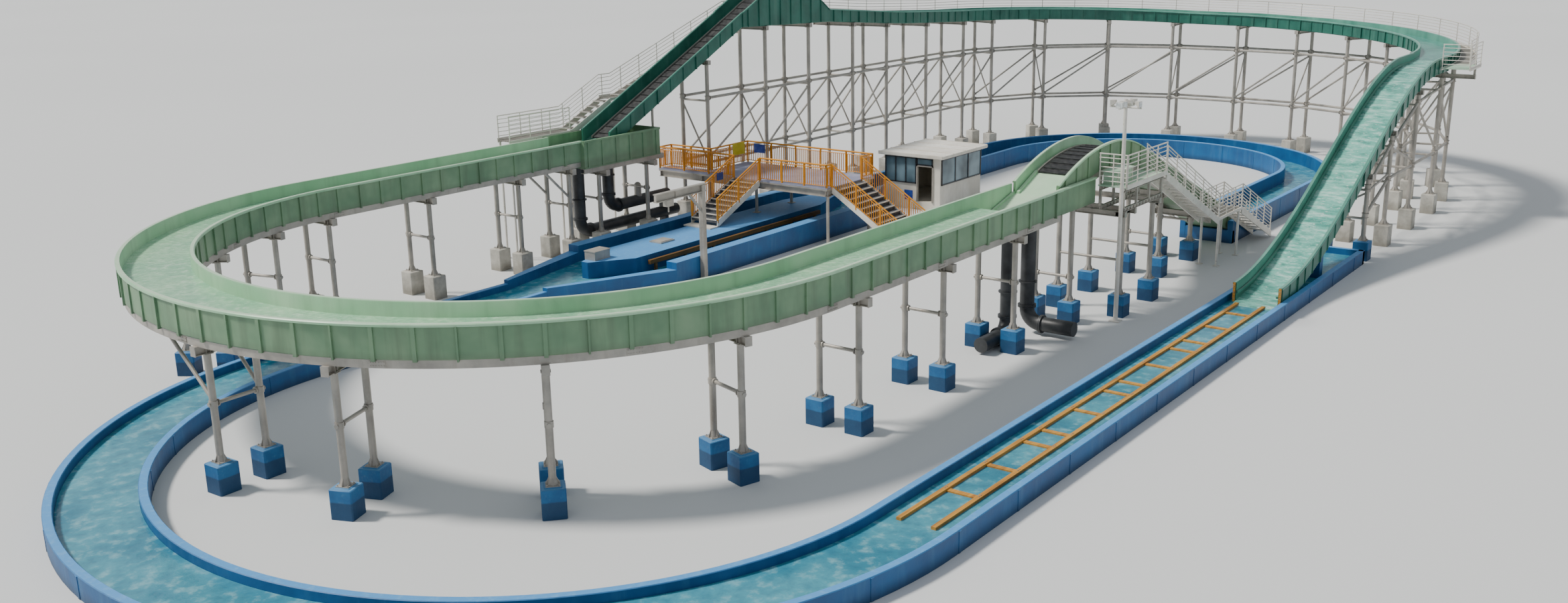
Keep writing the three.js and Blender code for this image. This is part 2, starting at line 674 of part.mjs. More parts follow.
const endPlatform = [
  block([WALKWAY_END_X, SECOND_TURN_X + END_LAP], endSpan, [endDeck - WALKWAY_SLAB, endDeck]),
  ...railing(
    [
      { x: WALKWAY_END_X + RAIL_INSET, y: endSpan[1], heading: -Math.PI / 2 },
      { x: WALKWAY_END_X + RAIL_INSET, y: endSpan[0], heading: -Math.PI / 2 },
    ],
    0,
    endDeck - RAIL_SUNK,
    WALKWAY_RAIL,
  ),
  ...railing(
    [
      { x: WALKWAY_END_X, y: endSpan[0] + RAIL_INSET, heading: 0 },
      { x: SECOND_TURN_X - END_LAP, y: endSpan[0] + RAIL_INSET, heading: 0 },
    ],
    0,
    endDeck - RAIL_SUNK,
    WALKWAY_RAIL,
  ),
];
walkway("high_walkway_north", northStations);
walkway("high_walkway_first_turn", firstTurnStations);
walkway("high_walkway_second_turn", eastToChute, endPlatform);

// Trestle of the second conveyor and the high flume
function trestleNode(place) {
  const beamTop = place.beamTop;
  const upper = Math.min(UPPER_PIPE_Z, beamTop - HIGH_BEAM_DEPTH - 0.35);
  return { ...place, upper, lower: Math.min(LOWER_PIPE_Z, upper - 1.25) };
}

// One pair of posts with its crossbeam, its ties and the seat of the walkway beside it.
function trestleBent(place) {
  const { beamTop, upper, lower, plinthTop = DECK_PLINTH_TOP, reach = HIGH_HALF + 0.05 } = place;
  const frame = frameOf(place);
  const spread = HIGH_POST_SPREAD;
  const parts = [-spread, spread].flatMap((side) =>
    post(frame, side, [plinthTop, beamTop - HIGH_BEAM_DEPTH / 2], true),
  );
  const width = [-BEAM_WIDTH / 2, BEAM_WIDTH / 2];
  parts.push(block(width, [-HIGH_HALF - 0.05, reach], [beamTop - HIGH_BEAM_DEPTH, beamTop], frame));
  for (const z of [lower - TIE_STEP, upper - TIE_STEP]) {
    parts.push(bar([0, -spread, z], [0, spread, z], PIPE_RADIUS, 4, frame));
  }
  if (place.arm) parts.push(block(width, [spread - 0.05, place.arm.reach], place.arm.heights, frame));
  if (place.seat) {
    const seatWidth = [SEAT_INSET - BEAM_WIDTH / 2, BEAM_WIDTH / 2 - SEAT_INSET];
    parts.push(block(seatWidth, [place.seat.from, reach - SEAT_INSET], place.seat.heights, frame));
  }
  return parts;
}

// Pipes and a diagonal on both sides of one bay, or of the part of it between two shares.
function bay(a, b, from = 0, to = 1) {
  const levels = [
    [a.lower, b.lower],
    [a.upper, b.upper],
    [a.lower + NODE_STEP, b.upper - NODE_STEP],
  ];
  return [-HIGH_POST_SPREAD, HIGH_POST_SPREAD].flatMap((side) => {
    const start = shifted(a, 0, side);
    const end = shifted(b, 0, side);
    return levels.map(([z0, z1]) => {
      const [near, far] = [new THREE.Vector3(start.x, start.y, z0), new THREE.Vector3(end.x, end.y, z1)];
      const point = (share) => near.clone().lerp(far, share).toArray();
      return bar(point(from), point(to), PIPE_RADIUS);
    });
  });
}

// Lengths of trestle meet in the middle of a bay, where their pipes are spliced.
const SPLICE = 0.0001;
function trestle(name, places, before, after) {
  const parts = places.flatMap(trestleBent);
  for (let i = 1; i < places.length; i++) parts.push(...bay(places[i - 1], places[i]));
  if (before) parts.push(...bay(before, places[0], 0.5 + SPLICE, 1));
  if (after) parts.push(...bay(places.at(-1), after, 0, 0.5 - SPLICE));
  return { name, parts };
}

// The lowest value of a height over the width of a bent's beam.
function lowestOver(place, height) {
  const over = [-BEAM_WIDTH / 2, BEAM_WIDTH / 2].map((ahead) => ({
    ...place,
    x: place.x + ahead * Math.cos(place.heading),
    run: place.run + ahead,
  }));
  return Math.min(...over.map(height));
}

const WALKWAY_SEAT_FROM = 1.2;
const SEAT_LAP = 0.02;
function highBent(place, options = {}) {
  const beamTop = lowestOver(place, highUnder) - SEAT_GAP;
  const seatTop = lowestOver(place, walkwayDeck) - WALKWAY_SLAB - SEAT_GAP;
  const seat = { from: WALKWAY_SEAT_FROM, heights: [beamTop - SEAT_LAP, seatTop] };
  const beside = place.x > WALKWAY_END_X || place.run < SECOND_TURN_RUN;
  return trestleNode({ ...place, beamTop, ...(beside && { reach: WALKWAY_OUTER, seat }), ...options });
}

// Levels of the stair and the walkway beside the second conveyor
const STAIR_Y = [48.32, 49.1];
const stairMid = (STAIR_Y[0] + STAIR_Y[1]) / 2;
const stairWidth = STAIR_Y[1] - STAIR_Y[0];
const LANDING_X = [43.9, 47.7];
const LANDING_TOP = 4.55;
const MID_LANDING_X = [50.4, 51.2];
const MID_LANDING_TOP = 5.75;
const CREST_DECK_X = 59.8;
const CREST_DECK_TOP = HIGH_START_TOP - WALKWAY_DROP;
const stairLine = grade([
  [LANDING_X[0], LANDING_TOP],
  [LANDING_X[1], LANDING_TOP],
  [MID_LANDING_X[0], MID_LANDING_TOP],
  [MID_LANDING_X[1], MID_LANDING_TOP],
  [CREST_DECK_X, CREST_DECK_TOP],
  [HIGH_START_X, CREST_DECK_TOP],
]);

const FLIGHT_LAP = 0.02;
const ARM_DEPTH = 0.16;
function crestBent(x) {
  const half = BEAM_WIDTH / 2;
  const liftUnder = (at) => (at < CREST_START_X ? secondTop(at) - SECOND_LIFT_DEPTH : crestUnder(at));
  const beamTop = Math.min(liftUnder(x - half), liftUnder(x + half)) - SEAT_GAP;
  const stairDepth = x < CREST_DECK_X ? STAIR_DEPTH : WALKWAY_SLAB;
  const stairLow = Math.min(stairLine(x - half - FLIGHT_LAP), stairLine(x + half));
  const stairUnder = stairLow - stairDepth - SEAT_GAP;
  const reach = STAIR_Y[1] - HIGH_Y;
  const support = stairUnder < beamTop
    ? { arm: { reach, heights: [stairUnder - ARM_DEPTH, stairUnder] } }
    : { reach, seat: { from: STAIR_Y[0] - HIGH_Y, heights: [beamTop - SEAT_LAP, stairUnder] } };
  return trestleNode({ ...onNorth(x), beamTop, ...support });
}

const crestBents = crestBentXs.map(crestBent);
const northBents = northBentXs.map((x) => highBent(onNorth(x)));
const turnBents = firstTurnBents.map((angle) => highBent(onFirstTurn(angle)));
const secondBents = secondTurnBents.map((angle) => highBent(onSecondTurn(angle)));
const eastBents = [highBent(onEast(eastBentY)), ...secondBents.slice(0, 2)];
const chuteBents = chuteBentXs.map((x, i) =>
  highBent(onChute(x), i === 0 ? { reach: WALKWAY_END_OUTER } : i === 3 ? { plinthTop: 0 } : {}),
);
const towerBents = [...secondBents.slice(2), ...chuteBents];
const northLength = [...crestBents, ...northBents];
const turnLength = [...turnBents, ...eastBents];
const spans = [
  trestle("trestle_north", northLength, null, turnLength[0]),
  trestle("trestle_east", turnLength, northLength.at(-1), towerBents[0]),
  trestle("trestle_tower", towerBents, turnLength.at(-1), null),
];
for (const { name, parts } of spans) piece(name, parts, STEEL);

// First conveyor's heights
const fallStraightX = ARCH_PEAK_X + FIRST_LIFT_SLOPE * ARCH_FALL_RADIUS;
const firstTop = (x) => {
  const away = x - ARCH_PEAK_X;
  if (away < 0) return ARCH_PEAK_TOP - (away * away) / (2 * ARCH_RISE_RADIUS);
  const round = Math.min(away, fallStraightX - ARCH_PEAK_X);
  return ARCH_PEAK_TOP - (round * round) / (2 * ARCH_FALL_RADIUS) - FIRST_LIFT_SLOPE * (away - round);
};
const firstUnder = (x) => firstTop(x) - FIRST_LIFT_DEPTH;
const rampFloor = grade([
  [LOW_FRONT_END_X, RAMP_MID_FLOOR],
  [FIRST_BELT_START_X, firstTop(FIRST_BELT_START_X) - FIRST_LIFT_BELT_DEPTH],
]);
const firstFloor = (x) => (x < FIRST_BELT_START_X ? rampFloor(x) : firstTop(x) - FIRST_LIFT_BELT_DEPTH);
const straightTop = firstTop(fallStraightX);
const FIRST_LIFT_FOOT_X =
  fallStraightX + (straightTop - FIRST_LIFT_DEPTH - FLOOR_TOP - SEAT_GAP) / FIRST_LIFT_SLOPE;
const firstLiftXs = [
  ...walk([LOW_FRONT_END_X, FIRST_BELT_START_X, ARCH_PEAK_X, fallStraightX], 0.8),
  FIRST_LIFT_FOOT_X,
];
const onFirstLift = (x) => ({ x, y: LOW_FRONT_Y, heading: 0 });

piece(
  "first_lift_channel",
  [
    channel(trimmed(firstLiftXs.map(onFirstLift)), {
      half: FIRST_LIFT_HALF,
      wall: CHANNEL_WALL,
      top: (s) => firstTop(s.x),
      bottom: (s) => firstUnder(s.x),
      floor: (s) => firstFloor(s.x),
    }),
  ],
  MINT,
);
const BELT_FOOT_X = FIRST_LIFT_FOOT_X - 0.3;
const archXs = firstLiftXs.slice(0, -1);
const firstBeltXs = archXs.filter((x) => x >= FIRST_BELT_START_X - SEAT_GAP);
piece(
  "first_lift_belt",
  [
    strip([...firstBeltXs, BELT_FOOT_X].map(onFirstLift), [-BELT_HALF, BELT_HALF], [
      (s) => firstFloor(s.x) + SEAT_GAP,
      (s) => firstFloor(s.x) + SEAT_GAP + BELT_THICK,
    ]),
  ],
  RUBBER,
);

// Frame of the first conveyor: plain bents, and crossbeams that reach out under the crest platform
const FIRST_GIRDER_END_X = 62.6;
const CREST_BOX_X = [50.05, 50.95];
const CREST_BEAM_TOP = 3.25;
const CREST_NEAR_POST_Y = 22.35;
const CREST_REACH_Y = [22.05, 25.15];
const CREST_LAST_X = 53.3;
const GIRDER_LAP = 0.03;
const FIRST_TIE_Z = 0.9;
const firstGirderStations = trimmed([...archXs, FIRST_GIRDER_END_X].map(onFirstLift));
const firstFrame = girders(firstGirderStations, FIRST_LIFT_HALF, (s) => firstUnder(s.x));
for (const x of [48.6, 57, 60.5]) {
  firstFrame.push(
    ...bent(onFirstLift(x), {
      spread: LOW_POST_SPREAD,
      beamTop: firstUnder(x) - GIRDER_DEPTH + GIRDER_LAP,
      plinthTop: 0,
      reach: FIRST_LIFT_HALF,
      tie: FIRST_TIE_Z,
    }),
  );
}
const CREST_FAR_POST_Y = 24.9;
const CREST_BEAM_HALF = 0.08;
const STUB_HALF = 0.06;
const STUB_LAP = 0.05;
const crestBeamZ = [CREST_BEAM_TOP - HIGH_BEAM_DEPTH, CREST_BEAM_TOP];
for (const x of [...CREST_BOX_X, CREST_LAST_X]) {
  firstFrame.push(block([x - CREST_BEAM_HALF, x + CREST_BEAM_HALF], CREST_REACH_Y, crestBeamZ));
  for (const y of [LOW_FRONT_Y - LOW_POST_SPREAD, CREST_FAR_POST_Y]) {
    const stub = [CREST_BEAM_TOP - STUB_LAP, firstUnder(x) - GIRDER_DEPTH + GIRDER_LAP];
    firstFrame.push(block([x - STUB_HALF, x + STUB_HALF], [y - STUB_HALF, y + STUB_HALF], stub));
  }
}
for (const x of [(CREST_BOX_X[0] + CREST_BOX_X[1]) / 2, CREST_LAST_X]) {
  const frame = frameOf(onFirstLift(x));
  for (const y of [CREST_NEAR_POST_Y, CREST_FAR_POST_Y]) {
    firstFrame.push(...post(frame, y - LOW_FRONT_Y, [0, CREST_BEAM_TOP - HIGH_BEAM_DEPTH / 2]));
  }
}
for (const y of [CREST_NEAR_POST_Y, CREST_FAR_POST_Y]) {
  firstFrame.push(block(CREST_BOX_X, [y - CREST_BEAM_HALF, y + CREST_BEAM_HALF], crestBeamZ));
}
piece("first_lift_frame", firstFrame, STEEL);

// Crest platform beside the first conveyor, on a box frame
const CREST_PLATFORM_X = [49.85, 53.6];
const CREST_PLATFORM_Y = [21.95, 23.1];
const CREST_PLATFORM_TOP = 4.2;
const CREST_BOX_TOP = CREST_PLATFORM_TOP - 0.08;
const CHORD_DEPTH = 0.16;
const CHORD_HALF = 0.05;
const CHORD_PITCH = 1.2;
const chordX = [CREST_PLATFORM_X[0] + 0.05, CREST_PLATFORM_X[1]];
const chordLevels = [
  [CREST_BEAM_TOP + SEAT_GAP, CREST_BEAM_TOP + CHORD_DEPTH],
  [CREST_BOX_TOP - CHORD_DEPTH, CREST_BOX_TOP],
];
const crestPlatform = [block(CREST_PLATFORM_X, CREST_PLATFORM_Y, [CREST_BOX_TOP, CREST_PLATFORM_TOP])];
for (const y of [CREST_PLATFORM_Y[0] + 0.17, CREST_PLATFORM_Y[1] - 0.07]) {
  const chordY = [y - CHORD_HALF, y + CHORD_HALF];
  crestPlatform.push(...chordLevels.map((heights) => block(chordX, chordY, heights)));
  for (const x of walk([chordX[0] + CHORD_HALF, chordX[1] - 3 * CHORD_HALF], CHORD_PITCH)) {
    const heights = [CREST_BEAM_TOP + 0.01, CREST_BOX_TOP];
    crestPlatform.push(block([x - CHORD_HALF, x + CHORD_HALF], chordY, heights));
  }
}
const CREST_RAIL = 1.2;
const crestRailFoot = CREST_PLATFORM_TOP - RAIL_SUNK;
const crestRailX = CREST_PLATFORM_X[0] + RAIL_INSET;
const crestRailY = CREST_PLATFORM_Y[0] + RAIL_INSET;
const sideRail = walk([CREST_PLATFORM_Y[1] - RAIL_SUNK, crestRailY - RAIL_SUNK], 0.6);
const nearRail = walk([crestRailX - RAIL_SUNK, CREST_PLATFORM_X[1] - RAIL_SUNK], 0.95);
const crestRails = [
  ...railing(
    sideRail.map((y) => ({ x: crestRailX, y, heading: -Math.PI / 2 })),
    0,
    crestRailFoot,
    CREST_RAIL,
    0.6,
  ),
  ...railing(
    nearRail.map((x) => ({ x, y: crestRailY, heading: 0 })),
    0,
    crestRailFoot,
    CREST_RAIL,
    0.9,
  ),
];
piece("crest_platform", [...crestPlatform, ...crestRails], STEEL);

// Stair from the crest platform down to the ground, with a landing on posts
const LIFT_STAIR_Y = [21.95, 22.85];
const liftStairMid = (LIFT_STAIR_Y[0] + LIFT_STAIR_Y[1]) / 2;
const liftStairWidth = LIFT_STAIR_Y[1] - LIFT_STAIR_Y[0];
const LANDING_FROM_X = 59.7;
const LANDING_TO_X = 62.5;
const LIFT_LANDING_TOP = 1.3;
const LIFT_STAIR_FOOT_X = 66.8;
const stairTopX = CREST_PLATFORM_X[1] + SEAT_GAP;
const LANDING_SLAB = 0.12;
const LEG_HALF = 0.06;
const onLiftStair = (x) => ({ x, y: liftStairMid, heading: 0 });
const upperRun = LANDING_FROM_X - stairTopX + FLIGHT_LAP;
const lowerRun = LIFT_STAIR_FOOT_X - LANDING_TO_X;
const upperDrop = [CREST_PLATFORM_TOP, LIFT_LANDING_TOP];
const lowerDrop = [LIFT_LANDING_TOP, GROUND + STAIR_DEPTH];
const liftStair = [
  ...flight(onLiftStair(stairTopX), upperDrop, upperRun, liftStairWidth, 14),
  block([LANDING_FROM_X, LANDING_TO_X], LIFT_STAIR_Y, [LIFT_LANDING_TOP - LANDING_SLAB, LIFT_LANDING_TOP]),
  ...flight(onLiftStair(LANDING_TO_X - FLIGHT_LAP), lowerDrop, lowerRun, liftStairWidth, 8),
];
function leg(x, y, top) {
  return block([x - LEG_HALF, x + LEG_HALF], [y - LEG_HALF, y + LEG_HALF], [GROUND, top - RAIL_SUNK]);
}
for (const x of [LANDING_FROM_X + 0.2, LANDING_TO_X - 0.2]) {
  for (const y of [LIFT_STAIR_Y[0] + 0.08, LIFT_STAIR_Y[1] - 0.08]) {
    liftStair.push(leg(x, y, LIFT_LANDING_TOP));
  }
}
const liftStairLine = grade([
  [CREST_PLATFORM_X[0], CREST_PLATFORM_TOP],
  [stairTopX, CREST_PLATFORM_TOP],
  [LANDING_FROM_X, LIFT_LANDING_TOP],
  [LANDING_TO_X, LIFT_LANDING_TOP],
  [LIFT_STAIR_FOOT_X, GROUND + STAIR_DEPTH],
]);
const STAIR_RAIL_SUNK = 0.15;
const STAIR_RAIL_EDGE = 0.03;
const STAIR_RAIL = RAIL_HEIGHT + 0.12;
const railXs = walk([stairTopX, LANDING_FROM_X, LANDING_TO_X, LIFT_STAIR_FOOT_X - 0.1], 1.6);
for (const y of [LIFT_STAIR_Y[0] + STAIR_RAIL_EDGE, LIFT_STAIR_Y[1] - STAIR_RAIL_EDGE]) {
  const stations = railXs.map((x) => ({ x, y, heading: 0 }));
  const foot = (s) => liftStairLine(s.x) - STAIR_RAIL_SUNK;
  liftStair.push(...railing(stations, 0, foot, STAIR_RAIL, 2.4));
}
piece("first_lift_stair", liftStair, PALE_RAIL);

// Floodlight mast on the corner of the crest platform
const MAST_X = 49.7;
const MAST_Y = 22.1;
const MAST_TOP = 7.45;
const MAST_RADIUS = 0.09;
const around = (middle, half) => [middle - half, middle + half];
const armZ = [MAST_TOP - 0.35, MAST_TOP - 0.25];
const lampZ = [MAST_TOP - 0.3, MAST_TOP - 0.02];
const bracketX = [MAST_X, CREST_PLATFORM_X[0] - SEAT_GAP];
const mast = [
  bar([MAST_X, MAST_Y, GROUND], [MAST_X, MAST_Y, MAST_TOP], MAST_RADIUS, 8),
  block([MAST_X - 0.6, MAST_X + 0.75], around(MAST_Y, 0.05), armZ),
  block(around(MAST_X, 0.05), around(MAST_Y, 0.6), armZ),
  block(bracketX, around(MAST_Y, 0.06), [CREST_BOX_TOP - 0.06, CREST_PLATFORM_TOP]),
];
for (const [dx, dy] of [[-0.55, 0], [0.65, 0], [0, -0.5], [0, 0.5]]) {
  mast.push(block(around(MAST_X + dx, 0.13), around(MAST_Y + dy, 0.1), lampZ));
}
piece("light_mast", mast, PALE_RAIL);

// Stair and walkway beside the second conveyor
const onStair = (x) => ({ x, y: stairMid, heading: 0 });
const upStair = (topX, footX, drop, treads) => {
  const from = { ...onStair(topX + FLIGHT_LAP), heading: Math.PI };
  return flight(from, drop, topX - footX + 2 * FLIGHT_LAP, stairWidth, treads);
};
const landing = (x, top) => block(x, STAIR_Y, [top - WALKWAY_SLAB, top]);
const secondStair = [
  landing(LANDING_X, LANDING_TOP),
  ...upStair(MID_LANDING_X[0], LANDING_X[1], [MID_LANDING_TOP, LANDING_TOP], 6),
  landing(MID_LANDING_X, MID_LANDING_TOP),
  ...upStair(CREST_DECK_X, MID_LANDING_X[1], [CREST_DECK_TOP, MID_LANDING_TOP], 16),
  landing([CREST_DECK_X, HIGH_START_X - SEAT_GAP], CREST_DECK_TOP),
];
for (const x of [LANDING_X[0] + 0.1, LANDING_X[1] - 0.1, MID_LANDING_X[1] - 0.1]) {
  for (const y of [STAIR_Y[0] + LEG_HALF, STAIR_Y[1] - LEG_HALF]) {
    secondStair.push(leg(x, y, x > MID_LANDING_X[0] ? MID_LANDING_TOP : LANDING_TOP));
  }
}
const secondRailMarks = [LANDING_X[0] + 0.03, LANDING_X[1], ...MID_LANDING_X, CREST_DECK_X];
const secondRail = walk([...secondRailMarks, HIGH_START_X - 0.01], 2.2).map((x) => ({
  x,
  y: STAIR_Y[1] - STAIR_RAIL_EDGE,
  heading: 0,
}));
secondStair.push(...railing(secondRail, 0, (s) => stairLine(s.x) - STAIR_RAIL_SUNK, STAIR_RAIL, 2.6));
piece("second_lift_stair", secondStair, PALE_RAIL);

// Troughs at ground level
const trough = (stations, top) =>
  channel(trimmed(stations), {
    half: TROUGH_HALF,
    wall: TROUGH_WALL,
    top,
    bottom: GROUND,
    floor: FLOOR_TOP,
  });
const acrossTrough = (y) => [y - TROUGH_HALF, y + TROUGH_HALF];
const LOOP_STEP = 9.5;
const onRunOut = (x) => ({ x, y: RUN_OUT_Y, heading: Math.PI });
const onLoop = (angle) => onCircle(LOOP_X, LOOP_Y, LOOP_RADIUS, angle);
const onReturn = (x) => ({ x, y: RETURN_Y, heading: 0 });
const runOutEndX = [RUN_OUT_END_X - TROUGH_WALL, RUN_OUT_END_X - SEAT_GAP / 2];
piece(
  "run_out_trough",
  [
    trough([RUN_OUT_END_X, LOOP_X].map(onRunOut), LOOP_TOP),
    block(runOutEndX, acrossTrough(RUN_OUT_Y), [GROUND, LOOP_TOP]),
    block(
      [PIER_X - PIER_HALF, PIER_X + PIER_HALF],
      [RUN_OUT_Y - 0.8, RUN_OUT_Y + 0.6],
      [GROUND + 0.02, pierTop],
    ),
  ],
  BLUE,
);
piece("run_out_loop", [trough(walk([-90, -270], LOOP_STEP).map(onLoop), LOOP_TOP)], BLUE);
piece("return_trough", [trough([LOOP_X, ENTRY_X].map(onReturn), LOOP_TOP)], BLUE);

const onBackNorth = (x) => ({ x, y: BACK_STRAIGHT_Y, heading: 0 });
const onBackLoop = (angle) => onCircle(BACK_LOOP_X, BACK_LOOP_Y, BACK_LOOP_RADIUS, angle);
const onBackSouth = (x) => ({ x, y: LOW_FRONT_Y, heading: Math.PI });
const BACK_STEP = 11.5;
piece("back_loop_north", [trough([EXIT_X, BACK_LOOP_X].map(onBackNorth), BACK_LOOP_TOP)], BLUE);
piece("back_loop_turn", [trough(walk([90, -90], BACK_STEP).map(onBackLoop), BACK_LOOP_TOP)], BLUE);
const sillX = [BACK_LOOP_END_X + SEAT_GAP, BACK_LOOP_END_X + TROUGH_WALL];
const sillTop = firstUnder(BACK_LOOP_END_X + TROUGH_WALL) - SEAT_GAP;
piece(
  "back_loop_south",
  [
    trough([BACK_LOOP_X, BACK_LOOP_END_X].map(onBackSouth), BACK_LOOP_TOP),
    block(sillX, acrossTrough(LOW_FRONT_Y), [GROUND, sillTop]),
  ],
  BLUE,
);

// Timber ladder in the run-out trough
const LADDER_RAIL_HALF = 0.07;
const SLEEPER_HALF = 0.09;
const ladderRailZ = [FLOOR_TOP + SEAT_GAP, LADDER_RAIL_TOP];
const sleeperZ = [LADDER_RAIL_TOP - 0.16, LADDER_RAIL_TOP - 0.04];
const ladder = LADDER_RAILS_Y.map((y) =>
  block([LADDER_START_X, LADDER_END_X], around(y, LADDER_RAIL_HALF), ladderRailZ),
);
for (const start of LADDER_MODULES_X) {
  for (const x of [start, start + SLEEPER_PITCH, start + 2 * SLEEPER_PITCH]) {
    ladder.push(block(around(x, SLEEPER_HALF), LADDER_RAILS_Y, sleeperZ));
  }
}
piece("run_out_ladder", ladder, OCHRE);

// Station
const entryOuter = [
  [ENTRY_X + SEAT_GAP, RETURN_Y - TROUGH_HALF],
  [STATION_START_X, STATION_NEAR_Y],
  [STATION_START_X, STATION_FAR_Y],
  [ENTRY_X + SEAT_GAP, RETURN_Y + TROUGH_HALF],
];
const entryInner = [
  [ENTRY_X - 1, RETURN_Y - TROUGH_HALF + TROUGH_WALL],
  [ENTRY_X, RETURN_Y - TROUGH_HALF + TROUGH_WALL],
  [STATION_START_X, STATION_NEAR_LANE_Y],
  [STATION_START_X + 1, STATION_NEAR_LANE_Y],
  [STATION_START_X + 1, STATION_FAR_LANE_Y],
  [STATION_START_X, STATION_FAR_LANE_Y],
  [ENTRY_X, RETURN_Y + TROUGH_HALF - TROUGH_WALL],
  [ENTRY_X - 1, RETURN_Y + TROUGH_HALF - TROUGH_WALL],
];
const entryWater = prism(entryInner, [FLOOR_TOP, ENTRY_TOP + 1]);
piece("station_entry", [prism(entryOuter, [GROUND, ENTRY_TOP]).subtract(entryWater)], BLUE);
const exitOuter = [
  [STATION_END_X, STATION_NEAR_Y],
  [EXIT_X - SEAT_GAP, BACK_STRAIGHT_Y - TROUGH_HALF],
  [EXIT_X - SEAT_GAP, BACK_STRAIGHT_Y + TROUGH_HALF],
  [STATION_END_X, STATION_FAR_Y],
];
const exitInner = [
  [STATION_END_X - 1, STATION_NEAR_LANE_Y],
  [STATION_END_X, STATION_NEAR_LANE_Y],
  [EXIT_X, BACK_STRAIGHT_Y - TROUGH_HALF + TROUGH_WALL],
  [EXIT_X + 1, BACK_STRAIGHT_Y - TROUGH_HALF + TROUGH_WALL],
  [EXIT_X + 1, BACK_STRAIGHT_Y + TROUGH_HALF - TROUGH_WALL],
  [EXIT_X, BACK_STRAIGHT_Y + TROUGH_HALF - TROUGH_WALL],
  [STATION_END_X, STATION_FAR_LANE_Y],
  [STATION_END_X - 1, STATION_FAR_LANE_Y],
];
const exitWater = prism(exitInner, [FLOOR_TOP, STATION_TOP + 1]);
piece("station_exit", [prism(exitOuter, [GROUND, STATION_TOP]).subtract(exitWater)], BLUE);
const stationX = [STATION_START_X + SEAT_GAP, STATION_END_X - SEAT_GAP];
const stationBlock = block(stationX, [STATION_NEAR_Y, STATION_FAR_Y], [GROUND, STATION_TOP]);
const stationWater = block(
  [STATION_START_X - 1, STATION_END_X + 1],
  [STATION_NEAR_LANE_Y, STATION_FAR_LANE_Y],
  [FLOOR_TOP, STATION_TOP + 1],
);
piece("station_basin", [stationBlock.subtract(stationWater)], BLUE);
const islandOutline = [
  [42.3, 42.25],
  [44, ISLAND_NEAR_Y],
  [57.4, ISLAND_NEAR_Y],
  [60.8, 42.2],
  [60.8, 42.6],
  [57.4, ISLAND_FAR_Y],
  [44.6, ISLAND_FAR_Y],
  [42.3, 42.6],
];
piece("station_island", [prism(islandOutline, [FLOOR_TOP + SEAT_GAP, STATION_TOP])], BLUE);

// Platform over the station
const slabZ = [PLATFORM_TOP - PLATFORM_SLAB, PLATFORM_TOP];
const beamZ = [PLATFORM_TOP - PLATFORM_SLAB - PLATFORM_BEAM, PLATFORM_TOP - 0.02];
const armX = [PLATFORM_X[0], PLATFORM_ARM_X];
const platformOutline = [
  [PLATFORM_X[0], PLATFORM_Y[0]],
  [PLATFORM_X[1], PLATFORM_Y[0]],
  [PLATFORM_X[1], PLATFORM_Y[1]],
  [PLATFORM_ARM_X, PLATFORM_Y[1]],
  [PLATFORM_ARM_X, PLATFORM_ARM_END_Y],
  [PLATFORM_X[0], PLATFORM_ARM_END_Y],
];
const platform = [prism(platformOutline, slabZ)];
const beamHalf = 0.08;
const crossBeamZ = [beamZ[0] + 0.02, beamZ[1] - 0.02];
const beamAlongX = (x, y) => {
  const span = [x[0] + beamHalf, x[1] - beamHalf];
  platform.push(block(span, [y - beamHalf, y + beamHalf], crossBeamZ));
};
const beamAlongY = (x, y) => platform.push(block([x - beamHalf, x + beamHalf], y, beamZ));
const postLineX = [PLATFORM_X[0] + 0.2, PLATFORM_X[1] - 0.3];
const postLineY = [PLATFORM_Y[0] + 0.1, 42.6, PLATFORM_ARM_END_Y - 0.1];
beamAlongX(PLATFORM_X, postLineY[0]);
beamAlongX(PLATFORM_X, postLineY[1]);
beamAlongX(PLATFORM_X, PLATFORM_Y[1] - 0.19);
beamAlongX(armX, postLineY[2]);
const beamInset = 0.1;
beamAlongY(PLATFORM_X[0] + beamInset, [PLATFORM_Y[0] + 0.01, PLATFORM_ARM_END_Y - 0.01]);
beamAlongY(PLATFORM_X[1] - beamInset, [PLATFORM_Y[0] + 0.01, PLATFORM_Y[1] - 0.01]);
beamAlongY(PLATFORM_ARM_X - beamInset, [PLATFORM_Y[1] - beamInset, PLATFORM_ARM_END_Y - 0.01]);
const COLUMN_RADIUS = 0.075;
const columns = [
  [postLineX[0], postLineY[0], GROUND],
  [postLineX[1], postLineY[0], GROUND],
  [postLineX[0] + 0.3, postLineY[1], STATION_TOP + SEAT_GAP],
  [postLineX[1] - 0.3, postLineY[1], STATION_TOP + SEAT_GAP],
  [PLATFORM_X[0] + 0.4, postLineY[2], GROUND],
  [postLineX[1] + 0.1, PLATFORM_Y[1] - 0.19, GROUND],
];
for (const [x, y, foot] of columns) {
  platform.push(bar([x, y, foot], [x, y, beamZ[0] + 0.1], COLUMN_RADIUS, 6));
}

